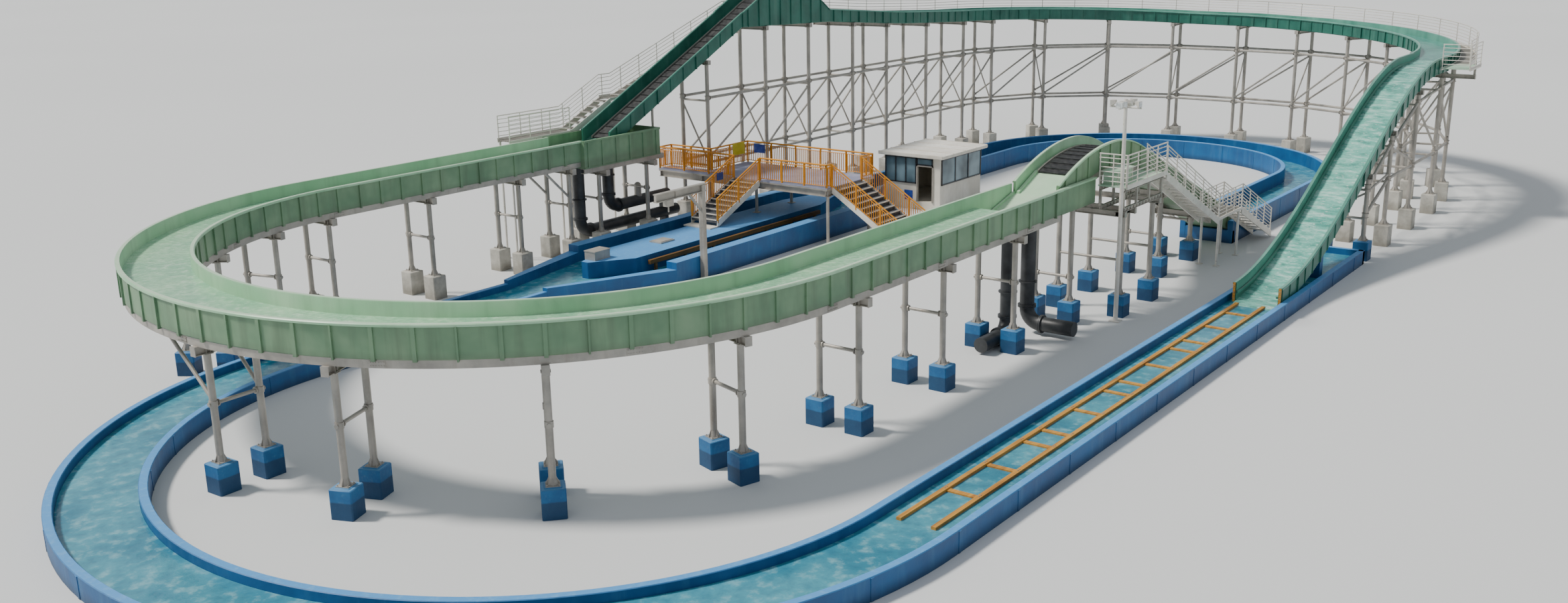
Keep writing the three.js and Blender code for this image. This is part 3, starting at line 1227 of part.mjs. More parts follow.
// Railings of the platform
const railFoot = PLATFORM_TOP - 0.02;
const line = (from, to, pitch = 2.4) => {
  const heading = Math.atan2(to[1] - from[1], to[0] - from[0]);
  const length = Math.hypot(to[0] - from[0], to[1] - from[1]);
  return walk([0, length], pitch).map((d) => shifted({ x: from[0], y: from[1], heading }, d));
};
const edge = 0.05;
const [leftX, rightX] = [PLATFORM_X[0] + edge, PLATFORM_X[1] - edge];
const [nearY, farY] = [PLATFORM_Y[0] + edge, PLATFORM_ARM_END_Y - edge];
const fence = (...points) =>
  points.slice(1).flatMap((point, i) => {
    const height = RAIL_HEIGHT - (i % 2) * 0.004;
    return railing(line(points[i], point), 0, railFoot, height, 2.2);
  });
const platformRails = [
  ...fence([leftX, ISLAND_STAIR_Y[0]], [leftX, nearY], [DECK_STAIR_X[0], nearY]),
  ...fence(
    [leftX, ISLAND_STAIR_Y[1]],
    [leftX, farY],
    [PLATFORM_ARM_X - edge, farY],
    [PLATFORM_ARM_X - edge, PLATFORM_Y[1] - edge],
    [rightX, PLATFORM_Y[1] - edge],
    [rightX, nearY],
    [DECK_STAIR_X[1], nearY],
  ),
];
piece("platform", [...platform, ...platformRails], ORANGE);

// Stairs of the platform with their rails
const islandFlight = {
  x: PLATFORM_X[0] - SEAT_GAP,
  y: (ISLAND_STAIR_Y[0] + ISLAND_STAIR_Y[1]) / 2,
  heading: Math.PI,
};
const islandRun = islandFlight.x - ISLAND_STAIR_FOOT_X;
const islandWidth = ISLAND_STAIR_Y[1] - ISLAND_STAIR_Y[0];
const islandDrop = [PLATFORM_TOP, STATION_TOP + STAIR_DEPTH + SEAT_GAP];
const deckFlight = {
  x: (DECK_STAIR_X[0] + DECK_STAIR_X[1]) / 2,
  y: PLATFORM_Y[0] - SEAT_GAP,
  heading: -Math.PI / 2,
};
const deckRun = deckFlight.y - DECK_STAIR_FOOT_Y;
const deckWidth = DECK_STAIR_X[1] - DECK_STAIR_X[0];
const deckDrop = [PLATFORM_TOP, GROUND + STAIR_DEPTH];
function stair(name, from, [topZ, footZ], length, width, treads) {
  const stations = walk([0, length], 1.7).map((d) => ({ ...shifted(from, d), d }));
  const foot = (s) => topZ + ((footZ - topZ) * s.d) / length - STAIR_RAIL_SUNK;
  const offset = width / 2 - STAIR_RAIL_EDGE;
  const rails = [-offset, offset].flatMap((side) => railing(stations, side, foot, STAIR_RAIL, 1.9));
  piece(name, [...flight(from, [topZ, footZ], length, width, treads), ...rails], ORANGE);
}
stair("island_stair", islandFlight, islandDrop, islandRun, islandWidth, 9);
stair("deck_stair", deckFlight, deckDrop, deckRun, deckWidth, 13);

// Jib post beside the station's near wall
const JIB_X = 45.9;
const JIB_HALF = 0.13;
const JIB_Y = STATION_NEAR_Y - JIB_HALF - SEAT_GAP;
const JIB_TOP = 3.3;
const JIB_REACH = 2.9;
piece(
  "jib_post",
  [
    block(around(JIB_X, JIB_HALF), around(JIB_Y, JIB_HALF), [GROUND, JIB_TOP - 0.05]),
    block([JIB_X - JIB_REACH, JIB_X + 0.2], around(JIB_Y, 0.12), [JIB_TOP - 0.35, JIB_TOP]),
    block(around(JIB_X - 0.6, 0.15), around(JIB_Y, 0.11), [JIB_TOP - 1.3, JIB_TOP - 0.3]),
  ],
  STEEL,
);

// Operator's booth: a hollow room with window openings and a doorway, and its roof
const BOOTH_X = [63.3, 67.5];
const BOOTH_Y = [37.8, BACK_STRAIGHT_Y - TROUGH_HALF - SEAT_GAP];
const BOOTH_DECK = -0.43;
const BOOTH_WALL = 0.1;
const BOOTH_SILL = 0.5;
const BOOTH_HEAD = 1.75;
const BOOTH_TOP = 1.9;
const BOOTH_DOOR_Y = [38.25, 39.15];
const BOOTH_WINDOW_Y = [39.4, 40.8];
const BOOTH_WINDOW_X = [63.5, 67.3];
const ROOF_OVERHANG = 0.25;
const ROOF_THICK = 0.16;
const grown = ([low, high], by) => [low - by, high + by];
const boothCuts = [
  block(grown(BOOTH_X, -BOOTH_WALL), grown(BOOTH_Y, -BOOTH_WALL), [BOOTH_DECK, BOOTH_TOP + 1]),
  block(around(BOOTH_X[0], 1), BOOTH_DOOR_Y, [BOOTH_DECK, BOOTH_HEAD]),
  block(around(BOOTH_X[0], 1), BOOTH_WINDOW_Y, [BOOTH_SILL, BOOTH_HEAD]),
  block(BOOTH_WINDOW_X, around(BOOTH_Y[0], 1), [BOOTH_SILL, BOOTH_HEAD]),
];
const boothBlock = block(BOOTH_X, BOOTH_Y, [GROUND, BOOTH_TOP]);
piece("booth_walls", [boothCuts.reduce((walls, cut) => walls.subtract(cut), boothBlock)], CREAM);
const roofZ = [BOOTH_TOP + SEAT_GAP, BOOTH_TOP + ROOF_THICK];
piece("booth_roof", [block(grown(BOOTH_X, ROOF_OVERHANG), grown(BOOTH_Y, ROOF_OVERHANG), roofZ)], CREAM);

// Feed risers under the low flume and the sump
const RISER_RADIUS = 0.27;
const RISER_BEND = 0.55;
const COLLAR_HALF = 0.07;
const COLLAR_ABOVE = 0.9;
const RISER_SIDES = 7;
function riser([x, y, top], cornerZ, end) {
  const parts = elbowPipe([x, y, top], [x, y, cornerZ], end, RISER_RADIUS, RISER_BEND);
  const [low, high] = around(cornerZ + COLLAR_ABOVE, COLLAR_HALF);
  parts.push(bar([x, y, low], [x, y, high], RISER_RADIUS + COLLAR_HALF, RISER_SIDES));
  return parts;
}
const lowRiserTop = LOW_UNDERSIDE - SEAT_GAP;
const EAST_MAIN_Z = -0.5;
const eastMains = [
  riser([45.1, LOW_FRONT_Y, lowRiserTop], EAST_MAIN_Z, [43.2, LOW_FRONT_Y, EAST_MAIN_Z]),
  riser([46.6, LOW_FRONT_Y, lowRiserTop], -0.3, [46.6, 22.3, EAST_MAIN_Z]),
];
eastMains.forEach((parts, i) => piece(`riser_east_${i + 1}`, parts, BLACK_PIPE));
const sumpRiserTop = SUMP_UNDERSIDE - SEAT_GAP;
const MANIFOLD_END_X = 53.3;
piece(
  "riser_west",
  [
    ...riser([46.7, HIGH_Y, sumpRiserTop], 0.1, [MANIFOLD_END_X, HIGH_Y, 0.1]),
    ...riser([48.6, HIGH_Y, sumpRiserTop], 0.95, [MANIFOLD_END_X - 0.6, HIGH_Y, 0.95]),
    block([52.3, 52.5], [HIGH_Y - 0.2, HIGH_Y + 0.2], [GROUND, 0.8]),
  ],
  BLACK_PIPE,
);

slide.scale.setScalar(MODEL_MM_PER_METRE);
slide.updateMatrixWorld(true);
const extent = new THREE.Box3().setFromObject(slide);
const middle = extent.getCenter(new THREE.Vector3());
slide.position.set(-middle.x, -middle.y, -extent.min.z);

export default slide;
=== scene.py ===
import math
from functools import cached_property

import bmesh
import bpy
import numpy as np
from mathutils import Matrix, Vector


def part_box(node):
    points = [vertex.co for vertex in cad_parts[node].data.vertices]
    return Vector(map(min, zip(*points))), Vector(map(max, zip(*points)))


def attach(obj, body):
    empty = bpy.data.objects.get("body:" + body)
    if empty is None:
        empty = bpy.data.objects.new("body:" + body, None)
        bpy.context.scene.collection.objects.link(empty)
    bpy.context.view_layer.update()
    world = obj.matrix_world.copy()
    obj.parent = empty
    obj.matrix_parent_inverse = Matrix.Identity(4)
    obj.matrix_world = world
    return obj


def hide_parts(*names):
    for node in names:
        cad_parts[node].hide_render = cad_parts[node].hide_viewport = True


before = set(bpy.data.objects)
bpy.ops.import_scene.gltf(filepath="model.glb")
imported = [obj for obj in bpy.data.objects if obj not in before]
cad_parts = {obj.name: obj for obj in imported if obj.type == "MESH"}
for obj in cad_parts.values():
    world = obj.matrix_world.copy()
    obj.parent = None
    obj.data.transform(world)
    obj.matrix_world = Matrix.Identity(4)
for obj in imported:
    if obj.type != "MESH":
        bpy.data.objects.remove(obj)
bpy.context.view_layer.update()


# Low flume
# A level channel moulded in mint plastic, in lengths bolted together at flanges, with a rolled rim
# along both walls and upright ribs that stiffen the outside. It holds about half its depth of water.
MODEL_SCALE = 0.5
GROUND = -0.85
RUN_OUT_END_X = 63.6995
LOW_BACK_WALL_Y = 48.05
PLAN_ORIGIN = np.array(
    [
        RUN_OUT_END_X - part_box("run_out_trough")[1][0] / MODEL_SCALE,
        LOW_BACK_WALL_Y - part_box("low_channel_back")[1][1] / MODEL_SCALE,
        GROUND,
    ]
)


def paint(red, green, blue):
    """A colour given as a paint card gives it, 0 to 255, as the shader wants it."""
    shares = [c / 255 for c in (red, green, blue)]
    linear = [c / 12.92 if c < 0.04045 else ((c + 0.055) / 1.055) ** 2.4 for c in shares]
    return (*linear, 1.0)


class Wire:
    """A value on its way through a finish, which Python can add, multiply and blend."""

    def __init__(self, finish, socket):
        self.finish = finish
        self.socket = socket

    def sum(self, operation, *values, clamp=False):
        settings = {"operation": operation, "use_clamp": clamp}
        return self.finish.node("ShaderNodeMath", settings, values)

    def __add__(self, other):
        return self.sum("ADD", self, other)

    __radd__ = __add__

    def __sub__(self, other):
        return self.sum("SUBTRACT", self, other)

    def __rsub__(self, other):
        return self.sum("SUBTRACT", other, self)

    def __mul__(self, other):
        return self.sum("MULTIPLY", self, other)

    __rmul__ = __mul__

    def between(self, low, high):
        """0 up to the low value, 1 from the high one, and straight between them."""
        return self.sum("MULTIPLY", self - low, 1 / (high - low), clamp=True)


class Finish:
    """A surface finish: one shader, and the nodes that vary it over the surface."""

    def __init__(self, name, roughness=0.5, metallic=0.0):
        self.material = bpy.data.materials.new(name)
        self.material.use_nodes = True
        self.tree = self.material.node_tree
        self.shader = self.tree.nodes["Principled BSDF"]
        self.shader.inputs["Roughness"].default_value = roughness
        self.shader.inputs["Metallic"].default_value = metallic
        self.colour = None

    @cached_property
    def place(self):
        return self.node("ShaderNodeTexCoord", {}, (), "Object")

    @cached_property
    def height(self):
        return self.part(self.place, 2) * (1 / MODEL_SCALE) + GROUND

    @cached_property
    def upward(self):
        facing = self.node("ShaderNodeNewGeometry", {}, (), "Normal")
        return self.part(facing, 2)

    def node(self, kind, settings, inputs, out=0):
        made = self.tree.nodes.new(kind)
        for key, value in settings.items():
            setattr(made, key, value)
        pairs = inputs.items() if isinstance(inputs, dict) else enumerate(inputs)
        for key, value in pairs:
            if isinstance(value, Wire):
                self.tree.links.new(value.socket, made.inputs[key])
            else:
                made.inputs[key].default_value = value
        return Wire(self, made.outputs[out])

    def part(self, vector, axis):
        return self.node("ShaderNodeSeparateXYZ", {}, [vector], axis)

    def patches(self, scale, detail=3.0, stretch=(1.0, 1.0, 1.0)):
        """Cloudy patches, a number of them to each real metre, stretched along an axis if asked."""
        spread = [scale / MODEL_SCALE * 0.25 * share for share in stretch]
        where = self.node("ShaderNodeVectorMath", {"operation": "MULTIPLY"}, [self.place, spread])
        inputs = {"Vector": where, "Scale": 4.0, "Detail": detail, "Roughness": 0.6}
        return self.node("ShaderNodeTexNoise", {}, inputs)

    def blend(self, share, first, second):
        """One colour going over into another, each from a blend or from a paint card."""
        first, second = (c if isinstance(c, Wire) else paint(*c) for c in (first, second))
        return self.node("ShaderNodeMix", {"data_type": "RGBA"}, {0: share, 6: first, 7: second}, 2)

    def shades(self, patches, first, second, low=0.35, high=0.7):
        """The surface in two shades that go over into each other with the patches."""
        self.colour = self.blend(patches.between(low, high), first, second)
        self.set("Base Color", self.colour)

    def over(self, share, colour):
        """A colour laid over what is there, as strong as its share."""
        self.colour = self.blend(share, self.colour, colour)
        self.set("Base Color", self.colour)

    def set(self, socket, value):
        self.tree.links.new(value.socket, self.shader.inputs[socket])

    def bumps(self, height, strength, distance=0.01):
        inputs = {"Strength": strength, "Distance": distance, "Height": height}
        self.set("Normal", self.node("ShaderNodeBump", {}, inputs))


class Place:
    """A place on the ride: where it is, which way it runs on the plan and how high it is."""

    def __init__(self, x, y, heading=0.0, z=0.0):
        self.x = x
        self.y = y
        self.heading = heading
        self.z = z

    def at(self, ahead=0.0, left=0.0, up=0.0):
        c, s = math.cos(self.heading), math.sin(self.heading)
        return (self.x + ahead * c - left * s, self.y + ahead * s + left * c, self.z + up)

    def moved(self, ahead=0.0, left=0.0, up=0.0):
        x, y, z = self.at(ahead, left, up)
        return Place(x, y, self.heading, z)

    def level(self, z):
        return Place(self.x, self.y, self.heading, z)


class Work:
    """Bars, plates and swept lengths gathered into one mesh, in metres of the real ride."""

    def __init__(self):
        self.points = []
        self.faces = []
        self.finish_of = []

    def loft(self, rings, finish=0):
        """Faces from ring to ring, closed at both ends. The finish is one number or one per edge."""
        start, count = len(self.points), len(rings[0])
        finishes = [finish] * count if isinstance(finish, int) else finish
        self.points += [point for ring in rings for point in ring]
        for r in range(len(rings) - 1):
            for i in range(count):
                a = start + r * count + i
                b = start + r * count + (i + 1) % count
                self.faces.append((a, b, b + count, a + count))
                self.finish_of.append(finishes[i])
        last = start + (len(rings) - 1) * count
        for first in (start, last):
            self.faces.append(tuple(range(first, first + count)))
            self.finish_of.append(finishes[0])

    def sweep(self, places, outline, finish=0):
        """An outline of offsets to the left and up, carried along the places."""
        shape = outline if callable(outline) else lambda place: outline
        self.loft([[p.at(0, left, up) for left, up in shape(p)] for p in places], finish)

    def bar(self, places, left, up, finish=0):
        """A squared bar carried along the places."""
        (l0, l1), (z0, z1) = left, up
        self.sweep(places, [(l0, z0), (l1, z0), (l1, z1), (l0, z1)], finish)

    def box(self, place, ahead, left, up, finish=0):
        self.bar([place.moved(a) for a in ahead], left, up, finish)

    def plate(self, place, half, up, finish=0):
        """A square plate about a place."""
        self.box(place, (-half, half), (-half, half), up, finish)

    def tube(self, start, end, radius, sides=12, finish=0, end_radius=None):
        a, b = np.array(start, float), np.array(end, float)
        along = (b - a) / np.linalg.norm(b - a)
        across = np.cross(along, (0, 0, 1) if abs(along[2]) < 0.99 else (1, 0, 0))
        across /= np.linalg.norm(across)
        upright = np.cross(across, along)
        turns = [2 * math.pi * i / sides for i in range(sides)]
        round_it = [across * math.cos(t) + upright * math.sin(t) for t in turns]
        far = radius if end_radius is None else end_radius
        rings = [[tuple(p + r * size) for r in round_it] for p, size in ((a, radius), (b, far))]
        self.loft(rings, finish)

    def upright(self, place, low, high, radius, sides=12, finish=0, top_radius=None):
        """A tube that stands at a place, between two heights."""
        self.tube(place.at(up=low), place.at(up=high), radius, sides, finish, top_radius)

    def round_bar(self, places, left, up, radius, sides):
        """A round bar carried along the places at an offset and a height."""
        turns = [2 * math.pi * i / sides for i in range(sides)]
        self.sweep(places, [(left + radius * math.cos(t), up + radius * math.sin(t)) for t in turns])

    def make(self, name, finishes, replaces=()):
        mesh = bpy.data.meshes.new(name)
        spots = (np.array(self.points) - PLAN_ORIGIN) * MODEL_SCALE
        mesh.from_pydata(spots.tolist(), [], self.faces)
        mesh.polygons.foreach_set("material_index", self.finish_of)
        for finish in finishes:
            mesh.materials.append(finish.material)
        shape = bmesh.new()
        shape.from_mesh(mesh)
        bmesh.ops.recalc_face_normals(shape, faces=shape.faces)
        shape.to_mesh(mesh)
        shape.free()
        mesh.shade_smooth()
        mesh.set_sharp_from_angle(angle=math.radians(34))
        made = bpy.data.objects.new(name, mesh)
        bpy.context.collection.objects.link(made)
        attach(made, "root")
        if replaces:
            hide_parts(*replaces)


def steps(start, end, pitch):
    """Numbers from start to end, evenly spaced and no further apart than the pitch."""
    count = max(1, math.ceil(abs(end - start) / pitch - 1e-6))
    return [start + (end - start) * i / count for i in range(count + 1)]


def beside(side, near, far):
    """Two offsets on one side of a route, in rising order."""
    return sorted((side * near, side * far))


def round_turn(centre_x, centre_y, radius, angle, z=0.0):
    """A place on a turn that is passed clockwise as its angle falls."""
    a = math.radians(angle)
    x, y = centre_x + radius * math.cos(a), centre_y + radius * math.sin(a)
    return Place(x, y, a - math.pi / 2, z)


def spaced(places, pitch, first=0.0):
    """Places at an even pitch along a route."""
    run = [0.0]
    for a, b in zip(places, places[1:]):
        run.append(run[-1] + math.hypot(b.x - a.x, b.y - a.y))
    turns = np.unwrap([p.heading for p in places])
    wanted = np.arange(first, run[-1] + 1e-6, pitch)
    columns = [[p.x for p in places], [p.y for p in places], turns, [p.z for p in places]]
    x, y, heading, z = (np.interp(wanted, run, column) for column in columns)
    return [Place(*values) for values in zip(x, y, heading, z)]


def moulding(half, wall, depth, floor, lip=0.05, lip_depth=0.08, corner=0.14):
    """The section of a moulded channel below its rim, and which of its edges are outside."""
    inner, base = half - wall, floor - depth
    bend = [
        (inner - corner + corner * math.cos(t), base + corner - corner * math.sin(t))
        for t in (0, math.pi / 6, math.pi / 3, math.pi / 2)
    ]
    outside = [
        (half - 0.04, -depth),
        (half, 0.04 - depth),
        (half, -lip_depth),
        (half + lip, -lip_depth),
        (half + lip, -0.025),
        (half + lip - 0.025, 0),
    ]
    right = [*outside, (inner + 0.02, 0), (inner, -0.03), *bend]
    left = [(-x, z) for x, z in reversed(right)]
    edges = len(right)
    shown = [1] * 3 + [0] * (edges - 3)
    return [*right, *left], shown + [0] * (edges - 4) + [1] * 4


BROAD_RIB = (0.045, 0.055)


def ribs(work, places, half, depth, pitch, rib=(0.035, 0.015), foot=0.03):
    """Upright ribs on both outsides, with a bolted flange in place of every third."""
    for i, place in enumerate(spaced(places, pitch, pitch / 2)):
        flanged = i % 3 == 0
        proud, thick = (0.06, 0.025) if flanged else rib
        for side in (-1, 1):
            reach = beside(side, half - 0.035, half + proud)
            work.box(place, (-thick, thick), reach, (foot - depth, -0.07), 1)
            for share in (0.2, 0.5, 0.8) if flanged else ():
                bolt = place.moved(0, side * (half + 0.035), -0.1 - (depth - 0.15) * share)
                work.tube(bolt.at(-thick - 0.015), bolt.at(thick + 0.015), 0.012, 6, 1)


FRONT_Y, BACK_Y = 24.2, 47.0
LOW_START_X, LOW_END_X = 47.0, 45.9
LOW_TOP, LOW_HALF, LOW_DEPTH = 4.5, 1.05, 0.95
LOW_UNDER = LOW_TOP - LOW_DEPTH
LOW_TURN = (33.25, (FRONT_Y + BACK_Y) / 2, (BACK_Y - FRONT_Y) / 2)
low_front = [Place(x, FRONT_Y, math.pi, LOW_TOP) for x in steps(LOW_START_X, LOW_TURN[0], 1.5)]
low_turn = [round_turn(*LOW_TURN, angle, LOW_TOP) for angle in steps(-90, -270, 2.5)]
low_back = [Place(x, BACK_Y, 0, LOW_TOP) for x in steps(LOW_TURN[0], LOW_END_X, 1.5)]
low_route = [*low_front, *low_turn[1:-1], *low_back]

mint_inside = Finish("mint_gel_coat_inside", roughness=0.32)
cloud = mint_inside.patches(0.5)
streaks = mint_inside.patches(1.6, 4.0, (1.0, 1.0, 0.12))
mint_inside.shades(cloud, (150, 201, 158), (176, 214, 178))
mint_inside.over(streaks.between(0.5, 0.78) * 0.45, (118, 150, 118))
# Upward faces, the rim tops above all, are lightened: a painted highlight.
mint_inside.over(mint_inside.upward.between(0.8, 1.0) * 0.4, (225, 232, 214))
mint_inside.set("Roughness", cloud * 0.2 + 0.24)
mint_inside.bumps(cloud, 0.15)

# A darker copy of the mint for the outsides of the mouldings and the whole sump. Its darker shades are
# painted shade, with grime streaks and a darker band towards the bottom laid over them.
mint_grime_and_shade = Finish("mint_gel_coat_grime_and_shade", roughness=0.5)
cloud = mint_grime_and_shade.patches(0.7)
streaks = mint_grime_and_shade.patches(2.2, 5.0, (1.0, 1.0, 0.08))
low_down = 1 - (mint_grime_and_shade.height + cloud * 0.15).between(3.62, 3.85)
mint_grime_and_shade.shades(cloud, (104, 142, 108), (134, 166, 130))
mint_grime_and_shade.over(streaks.between(0.5, 0.75) * 0.5, (88, 104, 82))
mint_grime_and_shade.over(low_down * 0.35, (92, 98, 82))
mint_grime_and_shade.set("Roughness", cloud * 0.3 + 0.35)
mint_grime_and_shade.bumps(streaks, 0.2)

low_flume = Work()
low_flume.sweep(low_route, *moulding(LOW_HALF, 0.1, LOW_DEPTH, 0.1))
ribs(low_flume, low_route, LOW_HALF, LOW_DEPTH, 0.98, BROAD_RIB, -0.03)
side_wall = Place(0, FRONT_Y - LOW_HALF)
side_wall_run = (LOW_START_X - 0.01, 49.75)
low_flume.box(side_wall, side_wall_run, (0, 0.1), (LOW_UNDER, LOW_TOP), 1)
low_flume.box(side_wall, side_wall_run, (-0.05, 0.11), (LOW_TOP - 0.06, LOW_TOP + 0.005))
RAMP_JOINT_Z = 4.15
ramp_end = [Place(x, FRONT_Y, 0, z) for x, z in ((45.2, 3.68), (LOW_START_X, RAMP_JOINT_Z))]
low_flume.bar(ramp_end, (-0.85, 0.85), (-0.03, 0.0))
for side in (-0.87, 0.87):
    low_flume.bar(ramp_end, (side - 0.04, side + 0.04), (-0.02, 0.07))
low_nodes = ["low_channel_front", "low_channel_turn", "low_channel_back"]
low_flume.make("low_flume", [mint_inside, mint_grime_and_shade], low_nodes)


# Water in the low flume
# Clear shallow water that takes the mint of the moulding under it, with fine ripples that the pumps
# keep going. It lies a little below the rim.
mint_water = Finish("shallow_mint_water", roughness=0.07)
ripple = mint_water.patches(5.0, 4.0, (1.0, 1.0, 0.5))
swell = mint_water.patches(0.5, 2.0)
mint_water.shades(swell, (138, 192, 156), (166, 212, 172), 0.35, 0.65)
mint_water.over(ripple.between(0.52, 0.72) * 0.6, (214, 236, 214))
mint_water.over(ripple.between(0.5, 0.3) * 0.35, (96, 156, 130))
mint_water.bumps(ripple, 0.5, 0.03)


def water_in(work, places, half, depth, drop):
    """Water between two walls, from the floor of its channel up to a level under the rim."""
    work.bar(places, (-half, half), (-depth, -drop))


LOW_WATER_DROP = 0.42
RAMP_FOOT_X, MIDDLE_Y = 45.6, 30.0
low_water = Work()
wet_low = [p for p in low_route if p.x < RAMP_FOOT_X or p.y > MIDDLE_Y]
water_in(low_water, wet_low, LOW_HALF - 0.095, LOW_DEPTH - 0.09, LOW_WATER_DROP)
low_water.make("low_flume_water", [mint_water])


# Frames of the low flume
# Two rolled channels run under the moulding, on crossbeams that sit on pairs of round posts. Each
# post has a plate and gussets at its foot and is bolted to a concrete plinth, some painted blue.
steel = Finish("galvanised_steel", roughness=0.45, metallic=0.25)
cloud = steel.patches(1.2)
spangle = steel.patches(14.0, 2.0)
streaks = steel.patches(3.0, 4.0, (1.0, 1.0, 0.1))
steel.shades(cloud, (156, 151, 143), (188, 182, 172))
steel.over(streaks.between(0.55, 0.8) * 0.45, (116, 100, 82))
steel.over(spangle.between(0.6, 0.7) * 0.15, (208, 203, 194))
steel.set("Roughness", cloud * 0.3 + 0.3)

blue_plinth = Finish("blue_plinth", roughness=0.6)
cloud = blue_plinth.patches(1.5)
grain = blue_plinth.patches(9.0, 5.0)
once_wet = 1 - (blue_plinth.height + cloud * 0.06).between(-0.36, -0.32)
blue_plinth.shades(cloud, (16, 88, 142), (34, 110, 164))
blue_plinth.over(grain.between(0.55, 0.75) * 0.25, (96, 140, 170))
blue_plinth.over(once_wet * 0.7, (10, 48, 78))
# Upward faces are lightened to a pale blue: a painted highlight.
blue_plinth.over(blue_plinth.upward.between(0.7, 0.95) * 0.6, (112, 168, 212))
blue_plinth.bumps(grain, 0.4)

bare_plinth = Finish("bare_concrete_plinth", roughness=0.75)
cloud = bare_plinth.patches(1.5)
grain = bare_plinth.patches(10.0, 5.0)
damp = 1 - (bare_plinth.height + cloud * 0.3).between(-0.6, -0.2)
bare_plinth.shades(cloud, (168, 164, 154), (205, 202, 192))
bare_plinth.over(damp * 0.6, (120, 114, 102))
bare_plinth.over(grain.between(0.55, 0.75) * 0.35, (128, 124, 116))
bare_plinth.bumps(grain, 0.5)
FRAME_FINISHES = [steel, blue_plinth, bare_plinth]

POST_RADIUS, TIE_RADIUS = 0.1, 0.055
BLUE_FOOT, BARE_FOOT = 0.0, 0.12
GIRDER = 0.22
LOW_SPREAD, LOW_REACH = 0.71, 1.1


def plinth(work, base, top, finish):
    """A cast block with worn corners and a grout pad on it."""
    for half, low, high in ((0.325, GROUND, top - 0.02), (0.24, top - 0.03, top)):
        rings = []
        for size, z in ((half, low), (half, high - 0.02), (half - 0.02, high)):
            cut = size - 0.03
            ring = [(size, cut), (cut, size), (-cut, size), (-size, cut)]
            ring += [(-size, -cut), (-cut, -size), (cut, -size), (size, -cut)]
            rings.append([base.at(a, b, z) for a, b in ring])
        work.loft(rings, finish)


def gusset(work, base, angle, z):
    """A three-cornered plate that stiffens the foot of a post."""
    turned = Place(base.x, base.y, base.heading + math.radians(angle), z)
    corners = ((POST_RADIUS, 0.0), (0.18, 0.0), (0.18, 0.03), (POST_RADIUS, 0.2))
    work.loft([[turned.at(a, side, up) for a, up in corners] for side in (-0.008, 0.008)])


def post(work, base, foot, top):
    """A round post with its plates, gussets and bolts, on its plinth."""
    plinth(work, base, foot, 1 if foot == BLUE_FOOT else 2)
    work.plate(base, 0.19, (foot - 0.005, foot + 0.022))
    work.upright(base, foot, top, POST_RADIUS, 16)
    work.upright(base, foot + 0.02, foot + 0.2, POST_RADIUS + 0.045, 16, 0, POST_RADIUS)
    for angle in (0, 90, 180, 270):
        gusset(work, base, angle, foot + 0.02)
    for a in (-0.15, 0.15):
        for b in (-0.15, 0.15):
            work.upright(base.moved(a, b), foot, foot + 0.06, 0.016, 6)
    work.plate(base, 0.13, (top - 0.022, top))


def crossbeam(work, base, left, top, depth, width=0.2, posts=()):
    """A rolled beam across the route, with end plates and stiffeners over its posts."""
    half, foot = width / 2, top - depth
    web = (foot + 0.01, top - 0.01)
    work.box(base, (-half, half), left, (top - 0.02, top))
    work.box(base, (-half, half), left, (foot, foot + 0.02))
    work.box(base, (-0.012, 0.012), left, web)
    for end in left:
        work.box(base, (-half - 0.01, half + 0.01), (end - 0.012, end + 0.012), (foot - 0.01, top + 0.004))
    for side in posts:
        for near in (side - 0.06, side + 0.06):
            work.box(base, (-half + 0.01, half - 0.01), (near - 0.006, near + 0.006), web)


def tie(work, base, z):
    """A pipe between the two posts of a pair, held in a clamp round each."""
    work.tube(base.at(0, -LOW_SPREAD, z), base.at(0, LOW_SPREAD, z), TIE_RADIUS)
    for side in (-1, 1):
        clamp = base.moved(0, side * LOW_SPREAD)
        work.upright(clamp, z - 0.085, z + 0.085, POST_RADIUS + 0.022, 16)
        inner = side * (LOW_SPREAD - POST_RADIUS - 0.02)
        work.tube(base.at(0, inner, z), base.at(0, inner - side * 0.035, z), 0.1, 14)
        outer = side * (LOW_SPREAD + POST_RADIUS)
        work.tube(base.at(0, outer, z), base.at(0, outer + side * 0.05, z), 0.06)


def edge_girders(work, places, half, depth):
    """A rolled channel under each wall of a moulding, its web outside."""
    web, flange, thick = half - 0.04, half - 0.28, 0.022
    outline = [(web, 0), (web, -GIRDER), (flange, -GIRDER), (flange, thick - GIRDER)]
    outline += [(web - thick, thick - GIRDER), (web - thick, -thick), (flange, -thick), (flange, 0)]
    for side in (-1, 1):
        work.sweep(places, [(side * left, up - depth) for left, up in outline])


def low_bent(work, base, under, reach, foot, tie_z=1.65):
    """A pair of posts with its crossbeam and tie, below the girders of a moulding."""
    beam_top, beam_depth = under - GIRDER, 0.26
    for side in (-LOW_SPREAD, LOW_SPREAD):
        post(work, base.moved(0, side), foot, beam_top - beam_depth)
    crossbeam(work, base, (-reach, reach), beam_top, beam_depth, posts=(-LOW_SPREAD, LOW_SPREAD))
    tie(work, base, tie_z)


def knees(work, foot, head, foot_z):
    """A slanting pipe from each post of a pair up to the girder above it."""
    head_z = LOW_UNDER - GIRDER
    for side in (-LOW_SPREAD, LOW_SPREAD):
        work.tube(foot.at(0, side, foot_z), head.at(0, side, head_z), TIE_RADIUS)
        work.box(head.moved(0, side), (-0.12, 0.12), (-0.07, 0.07), (head_z - 0.01, head_z + 0.01))


